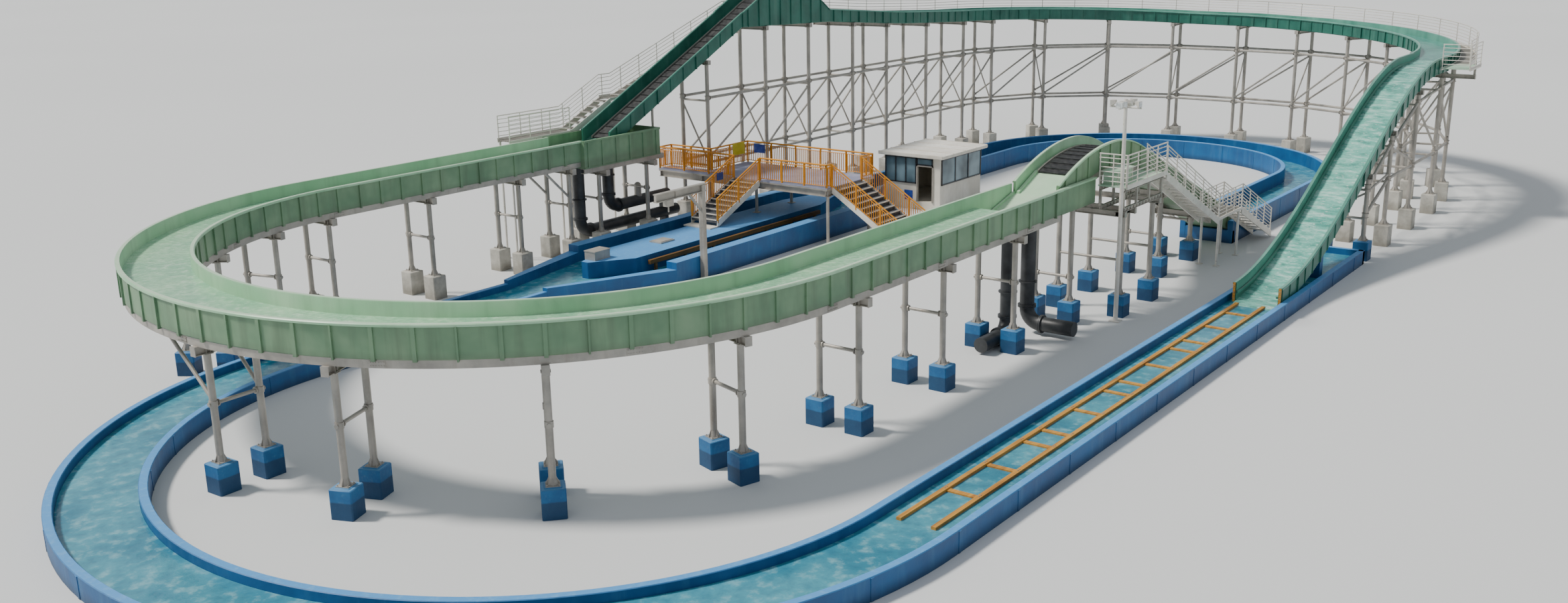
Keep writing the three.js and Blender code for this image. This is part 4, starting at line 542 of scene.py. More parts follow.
low_frame = Work()
edge_girders(low_frame, low_route, LOW_HALF, LOW_DEPTH)
blue_pairs = [Place(x, FRONT_Y, math.pi) for x in (44.2, 39.4, 34.6)]
blue_pairs += [round_turn(*LOW_TURN, angle) for angle in (-106.8, -131.9, -157.5, -178, -235)]
bare_pairs = [round_turn(*LOW_TURN, angle) for angle in (-254, -268)]
bare_pairs += [Place(x, BACK_Y) for x in (37.6, 42.4, 45.4)]
for pairs, foot in ((blue_pairs, BLUE_FOOT), (bare_pairs, BARE_FOOT)):
    for base in pairs:
        low_bent(low_frame, base, LOW_UNDER, LOW_REACH, foot)
knees(low_frame, round_turn(*LOW_TURN, -178), round_turn(*LOW_TURN, -188), 1.75)
knees(low_frame, Place(45.4, BACK_Y), Place(44.0, BACK_Y), 2.0)

CROSSBAR_PITCH, SPLICE_PITCH, SPLICE_FIRST = 1.96, 5.9, 2.3
low_under_route = [p.moved(0, 0, -LOW_DEPTH) for p in low_route]
for place in spaced(low_under_route, CROSSBAR_PITCH, CROSSBAR_PITCH / 2):
    low_frame.box(place, (-0.03, 0.03), (-0.8, 0.8), (-0.12, -0.01))
web_face = LOW_HALF - 0.04
for place in spaced(low_under_route, SPLICE_PITCH, SPLICE_FIRST):
    for side in (-1, 1):
        low_frame.box(place, (-0.22, 0.22), beside(side, web_face, web_face + 0.012), (-0.19, -0.03))
        for along in (-0.18, -0.11, -0.04, 0.04, 0.11, 0.18):
            for up in (-0.155, -0.065):
                bolt = place.moved(along, side * web_face, up)
                low_frame.tube(bolt.at(), bolt.at(0, side * 0.03), 0.015, 6)
low_frame_nodes = ["low_frame_front", "low_frame_turn", "low_frame_back"]
low_frame.make("low_flume_frame", FRAME_FINISHES, low_frame_nodes)


# Sump and its frame
# The deeper moulded box at the end of the low flume, where the second conveyor starts. It stands on
# the same kind of frame, with a stool under the conveyor's foot.
SUMP_HALF = 1.27
SUMP_START, SUMP_END = LOW_END_X, 50.9
SUMP_UNDER = 3.25
on_back = Place(0, BACK_Y)
sump_box = Work()
rim, sole = (LOW_TOP - 0.08, LOW_TOP + 0.005), (SUMP_UNDER, SUMP_UNDER + 0.06)
for side in (-1, 1):
    for up, proud in ((rim, 0.05), (sole, 0.03)):
        left = beside(side, SUMP_HALF - 0.02, SUMP_HALF + proud)
        sump_box.box(on_back, (SUMP_START, SUMP_END), left, up)
    left = beside(side, SUMP_HALF - 0.01, SUMP_HALF + 0.045)
    for x in steps(SUMP_START + 0.25, SUMP_END - 0.25, 0.9):
        sump_box.box(on_back, (x - 0.045, x + 0.045), left, (SUMP_UNDER + 0.03, LOW_TOP - 0.07))
sump_box.box(on_back, (SUMP_END - 0.01, SUMP_END + 0.05), (-SUMP_HALF, SUMP_HALF), rim)
sump_box.make("sump_ribs", [mint_grime_and_shade])
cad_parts["sump"].data.materials[0] = mint_grime_and_shade.material

sump_water = Work()
wet_sump = [Place(x, BACK_Y, 0, LOW_TOP) for x in (SUMP_START + 0.095, SUMP_END - 0.095)]
water_in(sump_water, wet_sump, SUMP_HALF - 0.095, LOW_TOP - SUMP_UNDER - 0.06, LOW_WATER_DROP)
sump_water.make("sump_water", [mint_water])

sump_frame = Work()
sump_run = [Place(x, BACK_Y, 0, SUMP_UNDER) for x in (SUMP_START, 51.2)]
edge_girders(sump_frame, sump_run, SUMP_HALF, 0)
for x in (47.3, 50.5):
    low_bent(sump_frame, Place(x, BACK_Y), SUMP_UNDER, SUMP_HALF + 0.05, BARE_FOOT)
stool = Place(51.08, BACK_Y)
stool_foot, stool_top = SUMP_UNDER - GIRDER, 5.35
crossbeam(sump_frame, stool, (-1.2, 1.2), stool_foot + 0.2, 0.2, 0.16, (-0.7, 0.7))
for side in (-0.7, 0.7):
    leg = stool.moved(0, side)
    sump_frame.upright(leg, stool_foot + 0.18, stool_top, 0.06, 14)
    sump_frame.plate(leg, 0.1, (stool_top - 0.02, stool_top))
sump_frame.make("sump_supports", FRAME_FINISHES, ["sump_frame"])


# Second conveyor and its crest
# A black belt with cleats climbs a deep teal channel and passes over a hump at the top, where the
# channel runs on into the high flume. The walls have fins outside and a flat rim.
teal = Finish("teal_gel_coat", roughness=0.4)
cloud = teal.patches(0.8)
streaks = teal.patches(2.4, 5.0, (1.0, 1.0, 0.1))
teal.shades(cloud, (24, 92, 78), (48, 118, 101))
teal.over(streaks.between(0.5, 0.75) * 0.5, (84, 134, 118))
# Upward faces, the rims above all, are lightened: a painted highlight.
teal.over(teal.upward.between(0.8, 1.0) * 0.5, (128, 168, 150))
teal.set("Roughness", cloud * 0.25 + 0.28)
teal.bumps(streaks, 0.15)

belt_rubber = Finish("wet_belt_rubber", roughness=0.55)
grain = belt_rubber.patches(6.0, 5.0)
belt_rubber.shades(grain, (24, 25, 27), (58, 58, 58), 0.4)
belt_rubber.set("Roughness", grain * 0.5 + 0.3)
belt_rubber.bumps(grain, 0.3)

LIFT_SLOPE, LIFT_HALF, LIFT_DEPTH = 0.48, 0.9, 0.75
LIFT_START, LIFT_START_TOP = 47.95, 4.64
CREST_START, CREST_BEND, CREST_PEAK, CREST_PEAK_TOP = 57.8, 59.0, 61.4, 10.54
CREST_HALF = 0.95
HIGH_START, HIGH_START_TOP = 65.3, 9.1
BEND_TOP = LIFT_START_TOP + LIFT_SLOPE * (CREST_BEND - LIFT_START)


def second_top(x):
    if x <= CREST_BEND:
        return LIFT_START_TOP + LIFT_SLOPE * (x - LIFT_START)
    near, near_top = (CREST_BEND, BEND_TOP) if x < CREST_PEAK else (HIGH_START, HIGH_START_TOP)
    share = (CREST_PEAK - x) / (CREST_PEAK - near)
    return CREST_PEAK_TOP - (CREST_PEAK_TOP - near_top) * share * share


def second_floor(x):
    depths = np.interp(x, [CREST_BEND, CREST_PEAK, HIGH_START], [LIFT_DEPTH - 0.1, 0.45, 0.62])
    return second_top(x) - float(depths)


def crest_under(x):
    low = second_top(CREST_START) - LIFT_DEPTH
    return float(np.interp(x, [CREST_START, HIGH_START], [low, HIGH_START_TOP - 0.7]))


def lift_outline(half, wall, depth_at, floor_at):
    """The section of a conveyor's channel where its depth and floor change along it."""

    def outline(place):
        depth, floor = depth_at(place.x), floor_at(place.x)
        shape, _ = moulding(half, wall, depth, depth - floor, 0.04, 0.06, 0.04)
        return shape

    return outline


lift_edges = moulding(LIFT_HALF, 0.1, LIFT_DEPTH, 0.1)[1]
second_run = [Place(x, BACK_Y, 0, second_top(x)) for x in (LIFT_START, CREST_START)]
crest_run = [Place(x, BACK_Y, 0, second_top(x)) for x in steps(CREST_START, HIGH_START, 0.25)]
second_lift = Work()
second_outline = lift_outline(LIFT_HALF, 0.086, lambda x: LIFT_DEPTH, lambda x: LIFT_DEPTH - 0.1)
second_lift.sweep(second_run, second_outline, lift_edges)
crest_outline = lift_outline(
    CREST_HALF, 0.1, lambda x: second_top(x) - crest_under(x), lambda x: second_top(x) - second_floor(x)
)
second_lift.sweep(crest_run, crest_outline, lift_edges)
ribs(second_lift, second_run, LIFT_HALF, LIFT_DEPTH, 0.95)
for place in spaced(crest_run, 0.9, 0.4):
    fin = (crest_under(place.x) - place.z + 0.02, -0.05)
    for side in (-1, 1):
        second_lift.box(place, (-0.02, 0.02), beside(side, CREST_HALF - 0.01, CREST_HALF + 0.05), fin, 1)
second_nodes = ["second_lift_channel", "crest_channel"]
second_lift.make("second_conveyor", [teal, teal], second_nodes)


def conveyor_belt(work, route, half):
    """A belt on its route: the band, a raised cleat every half metre and a guide rail on each side."""
    work.bar(route, (-half, half), (0.0, 0.06))
    for place in spaced(route, 0.5, 0.3):
        work.box(place, (-0.03, 0.03), (0.05 - half, half - 0.05), (0.055, 0.09))
    for side in (-1, 1):
        edge = side * (half + 0.05)
        work.bar(route, (edge - 0.03, edge + 0.03), (0, 0.1), 1)


BELT_HALF, BELT_LIFT = 0.6, 0.002
belt_xs = [LIFT_START + 0.4, *steps(CREST_START, CREST_PEAK, 0.3)]
second_belt = Work()
belt_route = [Place(x, BACK_Y, 0, second_floor(x) + BELT_LIFT) for x in belt_xs]
conveyor_belt(second_belt, belt_route, BELT_HALF)
second_belt.make("second_conveyor_belt", [belt_rubber, steel], ["second_lift_belt"])


# High flume
# The same teal channel goes round two turns, always a little downhill, and carries shallow fast
# water. Its moulded lengths are bolted at flanges and stiffened by fins.
HIGH_HALF, HIGH_DEPTH = 0.95, 0.7
FIRST_TURN = (79.6, *LOW_TURN[1:])
SECOND_TURN = (77.4, 31.7, 13.6)
EAST_X, CHUTE_Y = 91.0, 18.1
FIRST_RUN = FIRST_TURN[0] - HIGH_START
EAST_RUN = FIRST_RUN + math.pi / 2 * FIRST_TURN[2]
SECOND_RUN = EAST_RUN + FIRST_TURN[1] - SECOND_TURN[1]
END_RUN = SECOND_RUN + math.pi / 2 * SECOND_TURN[2]
GRADE_RUNS = [0, 72.7 - HIGH_START, FIRST_RUN, EAST_RUN, SECOND_RUN, END_RUN]
GRADE_TOPS = [HIGH_START_TOP, 8.5, 8.15, 7.65, 7.6, 6.9]


def high_top(run):
    return float(np.interp(run, GRADE_RUNS, GRADE_TOPS))


def on_north(x):
    return Place(x, BACK_Y, 0, high_top(x - HIGH_START))


def on_first_turn(angle):
    run = FIRST_RUN + math.radians(90 - angle) * FIRST_TURN[2]
    return round_turn(*FIRST_TURN, angle, high_top(run))


def on_east(y):
    return Place(EAST_X, y, -math.pi / 2, high_top(EAST_RUN + FIRST_TURN[1] - y))


def on_second_turn(angle):
    run = SECOND_RUN - math.radians(angle) * SECOND_TURN[2]
    return round_turn(*SECOND_TURN, angle, high_top(run))


high_route = [on_north(x) for x in steps(HIGH_START, FIRST_TURN[0], 1.6)]
high_route += [on_first_turn(a) for a in steps(90, 0, 2.5)[1:]]
high_route += [on_east(y) for y in steps(FIRST_TURN[1], SECOND_TURN[1], 1.3)[1:-1]]
high_route += [on_second_turn(a) for a in steps(0, -90, 2.5)]

# A lighter copy of the teal moulding for the inside of the high flume. Its lighter shades are painted
# light, with grime streaks and a painted highlight on upward faces.
teal_inside_painted_lit = Finish("teal_gel_coat_inside_painted_lit", roughness=0.32)
cloud = teal_inside_painted_lit.patches(0.7)
streaks = teal_inside_painted_lit.patches(2.0, 4.0, (1.0, 1.0, 0.12))
teal_inside_painted_lit.shades(cloud, (70, 138, 120), (100, 162, 144))
teal_inside_painted_lit.over(streaks.between(0.5, 0.78) * 0.45, (52, 104, 92))
teal_inside_painted_lit.over(teal_inside_painted_lit.upward.between(0.8, 1.0) * 0.45, (158, 194, 180))
teal_inside_painted_lit.set("Roughness", cloud * 0.2 + 0.24)

high_flume = Work()
high_flume.sweep(high_route, *moulding(HIGH_HALF, 0.09, HIGH_DEPTH, 0.08, 0.05, 0.07, 0.12))
ribs(high_flume, high_route, HIGH_HALF, HIGH_DEPTH, 0.82)
high_nodes = ["high_channel_north", "high_channel_first_turn", "high_channel_second_turn"]
high_flume.make("high_flume", [teal_inside_painted_lit, teal], high_nodes)

teal_water = Finish("fast_teal_water", roughness=0.08)
ripple = teal_water.patches(3.5, 4.0)
swell = teal_water.patches(0.5, 2.0)
teal_water.shades(swell, (58, 128, 118), (92, 160, 148), 0.35, 0.65)
teal_water.over(ripple.between(0.55, 0.75) * 0.6, (176, 212, 204))
teal_water.bumps(ripple, 0.4, 0.03)
high_water = Work()
water_in(high_water, high_route, HIGH_HALF - 0.088, HIGH_DEPTH - 0.07, 0.34)
high_water.make("high_flume_water", [teal_water])


# Chute
# A pale aqua channel that drops in one long S from the last turn into the run-out trough, with
# a sheet of rippled water running down it and a raised lip inside each wall.
CHUTE_HALF, CHUTE_DEPTH = 0.88, 0.8
CHUTE_START_X, BRINK_X, EASE_X, CHUTE_END_X = SECOND_TURN[0], 75.0, 53.2, 53.4
CHUTE_LOW, CHUTE_HIGH = 0.3, 6.9


def chute_top(x):
    t = min(1.0, (x - EASE_X) / (BRINK_X - EASE_X))
    return CHUTE_LOW + (CHUTE_HIGH - CHUTE_LOW) * t * t * (3 - 2 * t)


aqua = Finish("aqua_gel_coat", roughness=0.3)
cloud = aqua.patches(0.7)
streaks = aqua.patches(2.0, 5.0, (0.3, 1.0, 0.3))
# These two shades are darker than the pale aqua of the moulding: painted shade on the inner walls.
aqua.shades(cloud, (52, 122, 106), (80, 150, 132))
aqua.over(streaks.between(0.5, 0.75) * 0.5, (38, 88, 78))
# Upward faces, the rims above all, are lightened: a painted highlight.
aqua.over(aqua.upward.between(0.85, 1.0) * 0.3, (170, 208, 190))
aqua.set("Roughness", cloud * 0.2 + 0.2)
aqua.bumps(streaks, 0.2)

rapid = Finish("rapid_water", roughness=0.1)
waves = rapid.patches(2.6, 5.0, (1.6, 0.5, 1.6))
flecks = rapid.patches(9.0, 4.0, (1.2, 0.6, 1.2))
patchy = rapid.patches(0.6, 3.0)
rapid.shades(patchy, (100, 178, 162), (132, 202, 184), 0.35, 0.65)
rapid.over(waves.between(0.5, 0.66) * 0.75, (194, 232, 220))
rapid.over(waves.between(0.48, 0.34) * 0.65, (42, 122, 110))
rapid.over(flecks.between(0.58, 0.7) * 0.7, (222, 238, 230))
rapid.bumps(waves, 0.8, 0.05)

chute_xs = steps(CHUTE_START_X, CHUTE_END_X, 0.4)
chute_route = [Place(x, CHUTE_Y, math.pi, chute_top(x)) for x in chute_xs]
chute = Work()
chute.sweep(chute_route, *moulding(CHUTE_HALF, 0.09, CHUTE_DEPTH, 0.08, 0.06, 0.07, 0.1))
ribs(chute, chute_route, CHUTE_HALF, CHUTE_DEPTH, 0.9)
for side in (-1, 1):
    chute.bar(chute_route, beside(side, CHUTE_HALF - 0.1, CHUTE_HALF - 0.17), (-0.42, -0.34))
# The outsides take the deep teal finish in place of aqua: painted shade on the chute's outer faces.
chute.make("chute", [aqua, teal], ["chute_channel"])

DROP_XS, DROPS = [CHUTE_END_X, 58, 73, CHUTE_START_X], [0.69, 0.5, 0.5, 0.35]
chute_water = Work()
surface = []
for i, place in enumerate(spaced(chute_route, 0.2)):
    wave = 0.014 * math.sin(i * 1.7) + 0.01 * math.sin(i * 0.61)
    surface.append(place.moved(0, 0, wave - float(np.interp(place.x, DROP_XS, DROPS))))
for x, z in ((53.25, -0.42), (53.1, -0.47), (52.9, -0.56)):
    surface.append(Place(x, CHUTE_Y, math.pi, z))
water_in(chute_water, surface, CHUTE_HALF - 0.088, 0.08, 0)
chute_water.make("chute_water", [rapid])


# Trestle
# Pairs of round posts on plinths carry the second conveyor, the high flume and the chute. Pipes
# join them at two levels through flanged collars, with a diagonal in each bay and in each pair.
HIGH_SPREAD = 0.82
LOWER_Z, UPPER_Z = 2.2, 5.4
NODE_STEP, TIE_STEP = 0.22, 0.15
BEAM_DEPTH, BEAM_REACH = 0.2, 1.0
WALKWAY_DROP, WALKWAY_IN, WALKWAY_OUT = 0.45, 1.0, 1.8
WALKWAY_UNDER = WALKWAY_DROP + 0.105
WALKWAY_END_X, END_DECK_OUT = 75.0, 2.3
STAIR_LEFT = (48.32 - BACK_Y, 49.1 - BACK_Y)
LANDING_TOP, REST_TOP, CREST_DECK_TOP = 4.55, 5.75, HIGH_START_TOP - WALKWAY_DROP
STAIR_POINTS = [(43.9, LANDING_TOP), (47.7, LANDING_TOP), (50.4, REST_TOP), (51.2, REST_TOP)]
STAIR_POINTS += [(59.8, CREST_DECK_TOP), (HIGH_START, CREST_DECK_TOP)]


def stair_line(x):
    return float(np.interp(x, *zip(*STAIR_POINTS)))


class Bent:
    """One pair of trestle posts: its place, its beam and the levels of its pipes."""

    def __init__(self, place, beam_top, foot=BARE_FOOT, seat=None, arm=None):
        self.base = place.level(0)
        self.beam_top = beam_top
        self.foot = foot
        self.seat = seat
        self.arm = arm
        self.upper = min(UPPER_Z, beam_top - BEAM_DEPTH - 0.35)
        self.lower = min(LOWER_Z, self.upper - 1.25)


bents = []
for x in (55, 59.7, 63.5):
    near = (x - 0.1, x + 0.1)
    unders = [second_top(at) - LIFT_DEPTH if at < CREST_START else crest_under(at) for at in near]
    beam_top = min(unders) - 0.001
    thick = 0.28 if x < STAIR_POINTS[4][0] else 0.1
    stair_under = min(stair_line(x - 0.12), stair_line(x + 0.1)) - thick
    if stair_under < beam_top:
        bents.append(Bent(Place(x, BACK_Y), beam_top, arm=(STAIR_LEFT[1], stair_under)))
    else:
        bents.append(Bent(Place(x, BACK_Y), beam_top, seat=(STAIR_LEFT, stair_under)))
on_route = [on_north(x) for x in (67.7, 71.2, 75.6)]
on_route += [on_first_turn(a) for a in (87.5, 72, 50, 27, 5)]
on_route += [on_east(32.3)]
on_route += [on_second_turn(a) for a in (-14.5, -31, -47, -64, -80)]
for place in on_route:
    seat = ((1.2, WALKWAY_OUT), place.z - WALKWAY_UNDER)
    bents.append(Bent(place, place.z - HIGH_DEPTH - 0.006, seat=seat))
CHUTE_BENT_XS = (76.3, 72, 67.8, 64.5)
for x in CHUTE_BENT_XS:
    beam_top = min(chute_top(x - 0.1), chute_top(x + 0.1)) - CHUTE_DEPTH - 0.03
    seat = ((1.2, END_DECK_OUT), CHUTE_HIGH - WALKWAY_UNDER) if x > WALKWAY_END_X else None
    foot = BLUE_FOOT if x == CHUTE_BENT_XS[-1] else BARE_FOOT
    bents.append(Bent(Place(x, CHUTE_Y, math.pi), beam_top, foot, seat))

trestle = Work()


def flanged_pipe(start, end, radius):
    """A pipe between two posts, with a flange at each of its ends."""
    trestle.tube(start, end, radius, 10)
    along = np.subtract(end, start) / np.linalg.norm(np.subtract(end, start))
    for tip, way in ((np.array(start), along), (np.array(end), -along)):
        near = tip + way * (POST_RADIUS + 0.05)
        trestle.tube(near, near + way * 0.03, radius + 0.035)


for bent in bents:
    base = bent.base
    for side in (-HIGH_SPREAD, HIGH_SPREAD):
        leg = base.moved(0, side)
        post(trestle, leg, bent.foot, bent.beam_top - BEAM_DEPTH)
        for z in (bent.lower, bent.upper):
            trestle.upright(leg, z - 0.1, z + 0.1, POST_RADIUS + 0.02, 16)
            for edge in (z - 0.1, z + 0.085):
                trestle.upright(leg, edge, edge + 0.015, POST_RADIUS + 0.055, 16)
    left = (-BEAM_REACH, BEAM_REACH if bent.seat is None else bent.seat[0][1])
    crossbeam(trestle, base, left, bent.beam_top, BEAM_DEPTH, posts=(-HIGH_SPREAD, HIGH_SPREAD))
    tie_low, tie_high = bent.lower - TIE_STEP, bent.upper - TIE_STEP
    brace = (bent.lower, tie_high - 0.1, 0.045, 8)
    for z0, z1, radius, sides in ((tie_low, tie_low, 0.055, 10), (tie_high, tie_high, 0.055, 10), brace):
        trestle.tube(base.at(0, -HIGH_SPREAD, z0), base.at(0, HIGH_SPREAD, z1), radius, sides)
    if bent.seat:
        left, top = bent.seat
        for side in (left[0] + 0.05, left[1] - 0.05):
            trestle.box(base.moved(0, side), (-0.03, 0.03), (-0.05, 0.05), (bent.beam_top - 0.01, top))
        trestle.box(base, (-0.06, 0.06), left, (top - 0.03, top))
    if bent.arm:
        reach, top = bent.arm
        crossbeam(trestle, base, (HIGH_SPREAD - 0.05, reach), top, 0.16, 0.16)
for a, b in zip(bents, bents[1:]):
    bay = [(a.lower, b.lower, 0.07), (a.upper, b.upper, 0.07)]
    bay.append((a.lower + NODE_STEP, b.upper - NODE_STEP, 0.055))
    for side in (-HIGH_SPREAD, HIGH_SPREAD):
        for z0, z1, radius in bay:
            flanged_pipe(a.base.at(0, side, z0), b.base.at(0, side, z1), radius)
trestle_nodes = ["trestle_north", "trestle_east", "trestle_tower"]
trestle.make("trestle", FRAME_FINISHES, trestle_nodes)


# Walkways
# A grating deck in a light channel frame follows the outer side of the high flume, with a tubular
# railing of six bars along its far edge and a small platform at the head of the chute.
pale_paint = Finish("pale_rail_paint", roughness=0.42, metallic=0.1)
cloud = pale_paint.patches(1.5)
chips = pale_paint.patches(7.0, 4.0)
pale_paint.shades(cloud, (212, 207, 197), (234, 230, 221))
pale_paint.over(chips.between(0.62, 0.72) * 0.5, (150, 132, 108))
pale_paint.set("Roughness", cloud * 0.25 + 0.3)

grating = Finish("walkway_grating", roughness=0.6, metallic=0.3)
cloud = grating.patches(1.0)
bands = {"wave_type": "BANDS", "bands_direction": "DIAGONAL"}
bars = grating.node("ShaderNodeTexWave", bands, {"Vector": grating.place, "Scale": 9.0})
grating.shades(cloud, (120, 118, 110), (156, 152, 142))
grating.over(bars.between(0.5, 0.9) * 0.5, (84, 82, 78))
grating.bumps(bars, 0.4)

green_floor = Finish("pale_green_floor", roughness=0.6)
cloud = green_floor.patches(1.2)
scuffs = green_floor.patches(6.0, 5.0)
green_floor.shades(cloud, (160, 192, 168), (184, 208, 186))
green_floor.over(scuffs.between(0.55, 0.75) * 0.4, (122, 138, 118))
WALK_FINISHES = [pale_paint, grating, green_floor]


def railing(work, places, left, height, bars, pitch):
    """A tubular railing: posts at a pitch, a top rail and evenly spaced lower bars."""
    work.round_bar(places, left, height - 0.025, 0.025, 10)
    for i in range(1, bars + 1):
        work.round_bar(places, left, height * i / (bars + 1), 0.017, 6)
    run = sum(math.hypot(b.x - a.x, b.y - a.y) for a, b in zip(places, places[1:]))
    count = max(1, round(run / pitch))
    for place in spaced(places, (run - 0.06) / count, 0.03):
        foot = place.moved(0, left)
        work.upright(foot, -0.06, height - 0.02, 0.024, 8)
        work.plate(foot, 0.035, (-0.005, 0.012))


def walkway_deck(work, places, left, floor=1):
    """A floor between two light channels, with a toe board on its outer side."""
    inner, outer = left
    work.bar(places, (inner + 0.02, outer - 0.02), (-0.035, 0), floor)
    for channel in ((inner, inner + 0.04), (outer - 0.04, outer)):
        work.bar(places, channel, (-0.1, 0.02))
    work.bar(places, (outer - 0.012, outer), (0, 0.1))


WALKWAY_RAIL, END_RAIL_BARS, END_RAIL_PITCH = 1.15, 5, 1.2
walk_route = [p.moved(0, 0, -WALKWAY_DROP) for p in high_route]
walkway = Work()
walkway_deck(walkway, walk_route, (WALKWAY_IN, WALKWAY_OUT))
railing(walkway, walk_route, WALKWAY_OUT - 0.04, WALKWAY_RAIL, 6, 1.9)
end_deck = CHUTE_HIGH - WALKWAY_DROP
end_run = [Place(x, CHUTE_Y, math.pi, end_deck) for x in (CHUTE_START_X, WALKWAY_END_X)]
end_side_ys = (CHUTE_Y - WALKWAY_IN, CHUTE_Y - END_DECK_OUT)
end_side = [Place(WALKWAY_END_X + 0.04, y, -math.pi / 2, end_deck) for y in end_side_ys]
walkway_deck(walkway, end_run, (WALKWAY_IN, END_DECK_OUT), 2)
railing(walkway, end_run, END_DECK_OUT - 0.04, WALKWAY_RAIL, END_RAIL_BARS, END_RAIL_PITCH)
railing(walkway, end_side, 0, WALKWAY_RAIL, END_RAIL_BARS, END_RAIL_PITCH)
walkway_nodes = ["high_walkway_north", "high_walkway_first_turn", "high_walkway_second_turn"]
walkway.make("high_walkway", WALK_FINISHES, walkway_nodes)


# Stair beside the second conveyor
# Steel stringers carry open treads from a landing on posts at the sump up to a walkway at the
# crest. A railing with lower bars follows its outer side.
def flight(work, top, foot, width, treads, finish=0, tread_finish=1, riser=False):
    """A flight between two places on one line: stringers, treads and their nosings."""
    going = math.hypot(foot.x - top.x, foot.y - top.y) / treads
    rise = (top.z - foot.z) / treads
    half = width / 2
    across = (0.05 - half, half - 0.05)
    for side in (-1, 1):
        work.bar((top, foot), beside(side, half - 0.05, half), (-0.28, 0.02), finish)
    for i in range(treads):
        step = top.moved(going * i, 0, -rise * (i + 0.5))
        work.box(step, (0.0, going + 0.02), across, (-0.04, 0), tread_finish)
        work.box(step, (going, going + 0.03), across, (-0.045, 0.004), finish)
        if riser:
            work.box(step, (going, going + 0.015), across, (-rise, -0.03), tread_finish)


def line_of(points, heading=0.0):
    return [Place(x, y, heading, z) for x, y, z in points]


STAIR_MID, STAIR_WIDTH, STAIR_RAIL_OUT = 48.71, 0.78, 0.36
second_stair = Work()
for low, high, treads in ((1, 2, 6), (3, 4, 16)):
    ends = (STAIR_POINTS[high], STAIR_POINTS[low])
    top, foot = (Place(x, STAIR_MID, math.pi, z) for x, z in ends)
    flight(second_stair, top, foot, STAIR_WIDTH, treads)
for i in (0, 2, 4):
    deck = [Place(x, STAIR_MID, 0, z) for x, z in STAIR_POINTS[i:i + 2]]
    walkway_deck(second_stair, deck, (-STAIR_WIDTH / 2, STAIR_WIDTH / 2))
for x in (44.0, 47.6, 51.1):
    for side in (-0.33, 0.33):
        leg = Place(x, STAIR_MID + side)
        second_stair.upright(leg, GROUND, stair_line(x) - 0.05, 0.05)
        second_stair.plate(leg, 0.11, (GROUND, GROUND + 0.03))
rail_line = [(43.93, LANDING_TOP), *STAIR_POINTS[1:-1], (HIGH_START - 0.01, CREST_DECK_TOP)]
for y, points in ((STAIR_MID + STAIR_RAIL_OUT, rail_line), (STAIR_MID - STAIR_RAIL_OUT, rail_line[:2])):
    railing(second_stair, line_of([(x, y, z) for x, z in points]), 0, 1.1, 5, 1.3)
second_stair.make("second_conveyor_stair", WALK_FINISHES, ["second_lift_stair"])


# First conveyor
# From the back loop a belt climbs a mint channel over an arched crest, and a light ramp with raised
# edges leads down into the low flume. The channel rests on girders, pairs of posts and a box frame.
ARCH_X, ARCH_TOP = 51.5, 5.6
RISE_RADIUS, FALL_RADIUS = 10.1, 7.0
FIRST_SLOPE = 0.42
FIRST_HALF, FIRST_DEPTH, FIRST_BELT_DROP = 0.9, 0.95, 0.42
RAMP_TOP_X = 48.4
STRAIGHT_X = ARCH_X + FIRST_SLOPE * FALL_RADIUS
TROUGH_FLOOR = GROUND + 0.12


def first_top(x):
    away = x - ARCH_X
    if away < 0:
        return ARCH_TOP - away * away / (2 * RISE_RADIUS)
    bend = min(away, STRAIGHT_X - ARCH_X)
    return ARCH_TOP - bend * bend / (2 * FALL_RADIUS) - FIRST_SLOPE * (away - bend)


def first_floor(x):
    on_ramp = [RAMP_JOINT_Z, first_top(RAMP_TOP_X) - FIRST_BELT_DROP]
    ramp_z = float(np.interp(x, [LOW_START_X, RAMP_TOP_X], on_ramp))
    return ramp_z if x < RAMP_TOP_X else first_top(x) - FIRST_BELT_DROP


FOOT_X = STRAIGHT_X + (first_top(STRAIGHT_X) - FIRST_DEPTH - TROUGH_FLOOR - 0.001) / FIRST_SLOPE
first_xs = [*steps(LOW_START_X, STRAIGHT_X, 0.3), FOOT_X]
first_run = [Place(x, FRONT_Y, 0, first_top(x)) for x in first_xs]
first_outline = lift_outline(
    FIRST_HALF, 0.1, lambda x: FIRST_DEPTH, lambda x: first_top(x) - first_floor(x)
)
first_lift = Work()
first_lift.sweep(first_run, first_outline, lift_edges)
ribs(first_lift, first_run, FIRST_HALF, FIRST_DEPTH, 0.95, BROAD_RIB)
ramp = [Place(x, FRONT_Y, 0, first_floor(x)) for x in (LOW_START_X, RAMP_TOP_X)]
for side in (-0.7, 0.7):
    first_lift.bar(ramp, (side - 0.05, side + 0.05), (0, 0.09))
first_lift.make("first_conveyor", [mint_inside, mint_grime_and_shade], ["first_lift_channel"])

belt_xs = [*steps(RAMP_TOP_X, STRAIGHT_X, 0.3), FOOT_X - 0.3]
first_belt = Work()
belt_route = [Place(x, FRONT_Y, 0, first_floor(x) + BELT_LIFT) for x in belt_xs]
conveyor_belt(first_belt, belt_route, BELT_HALF)
first_belt.make("first_conveyor_belt", [belt_rubber, steel], ["first_lift_belt"])

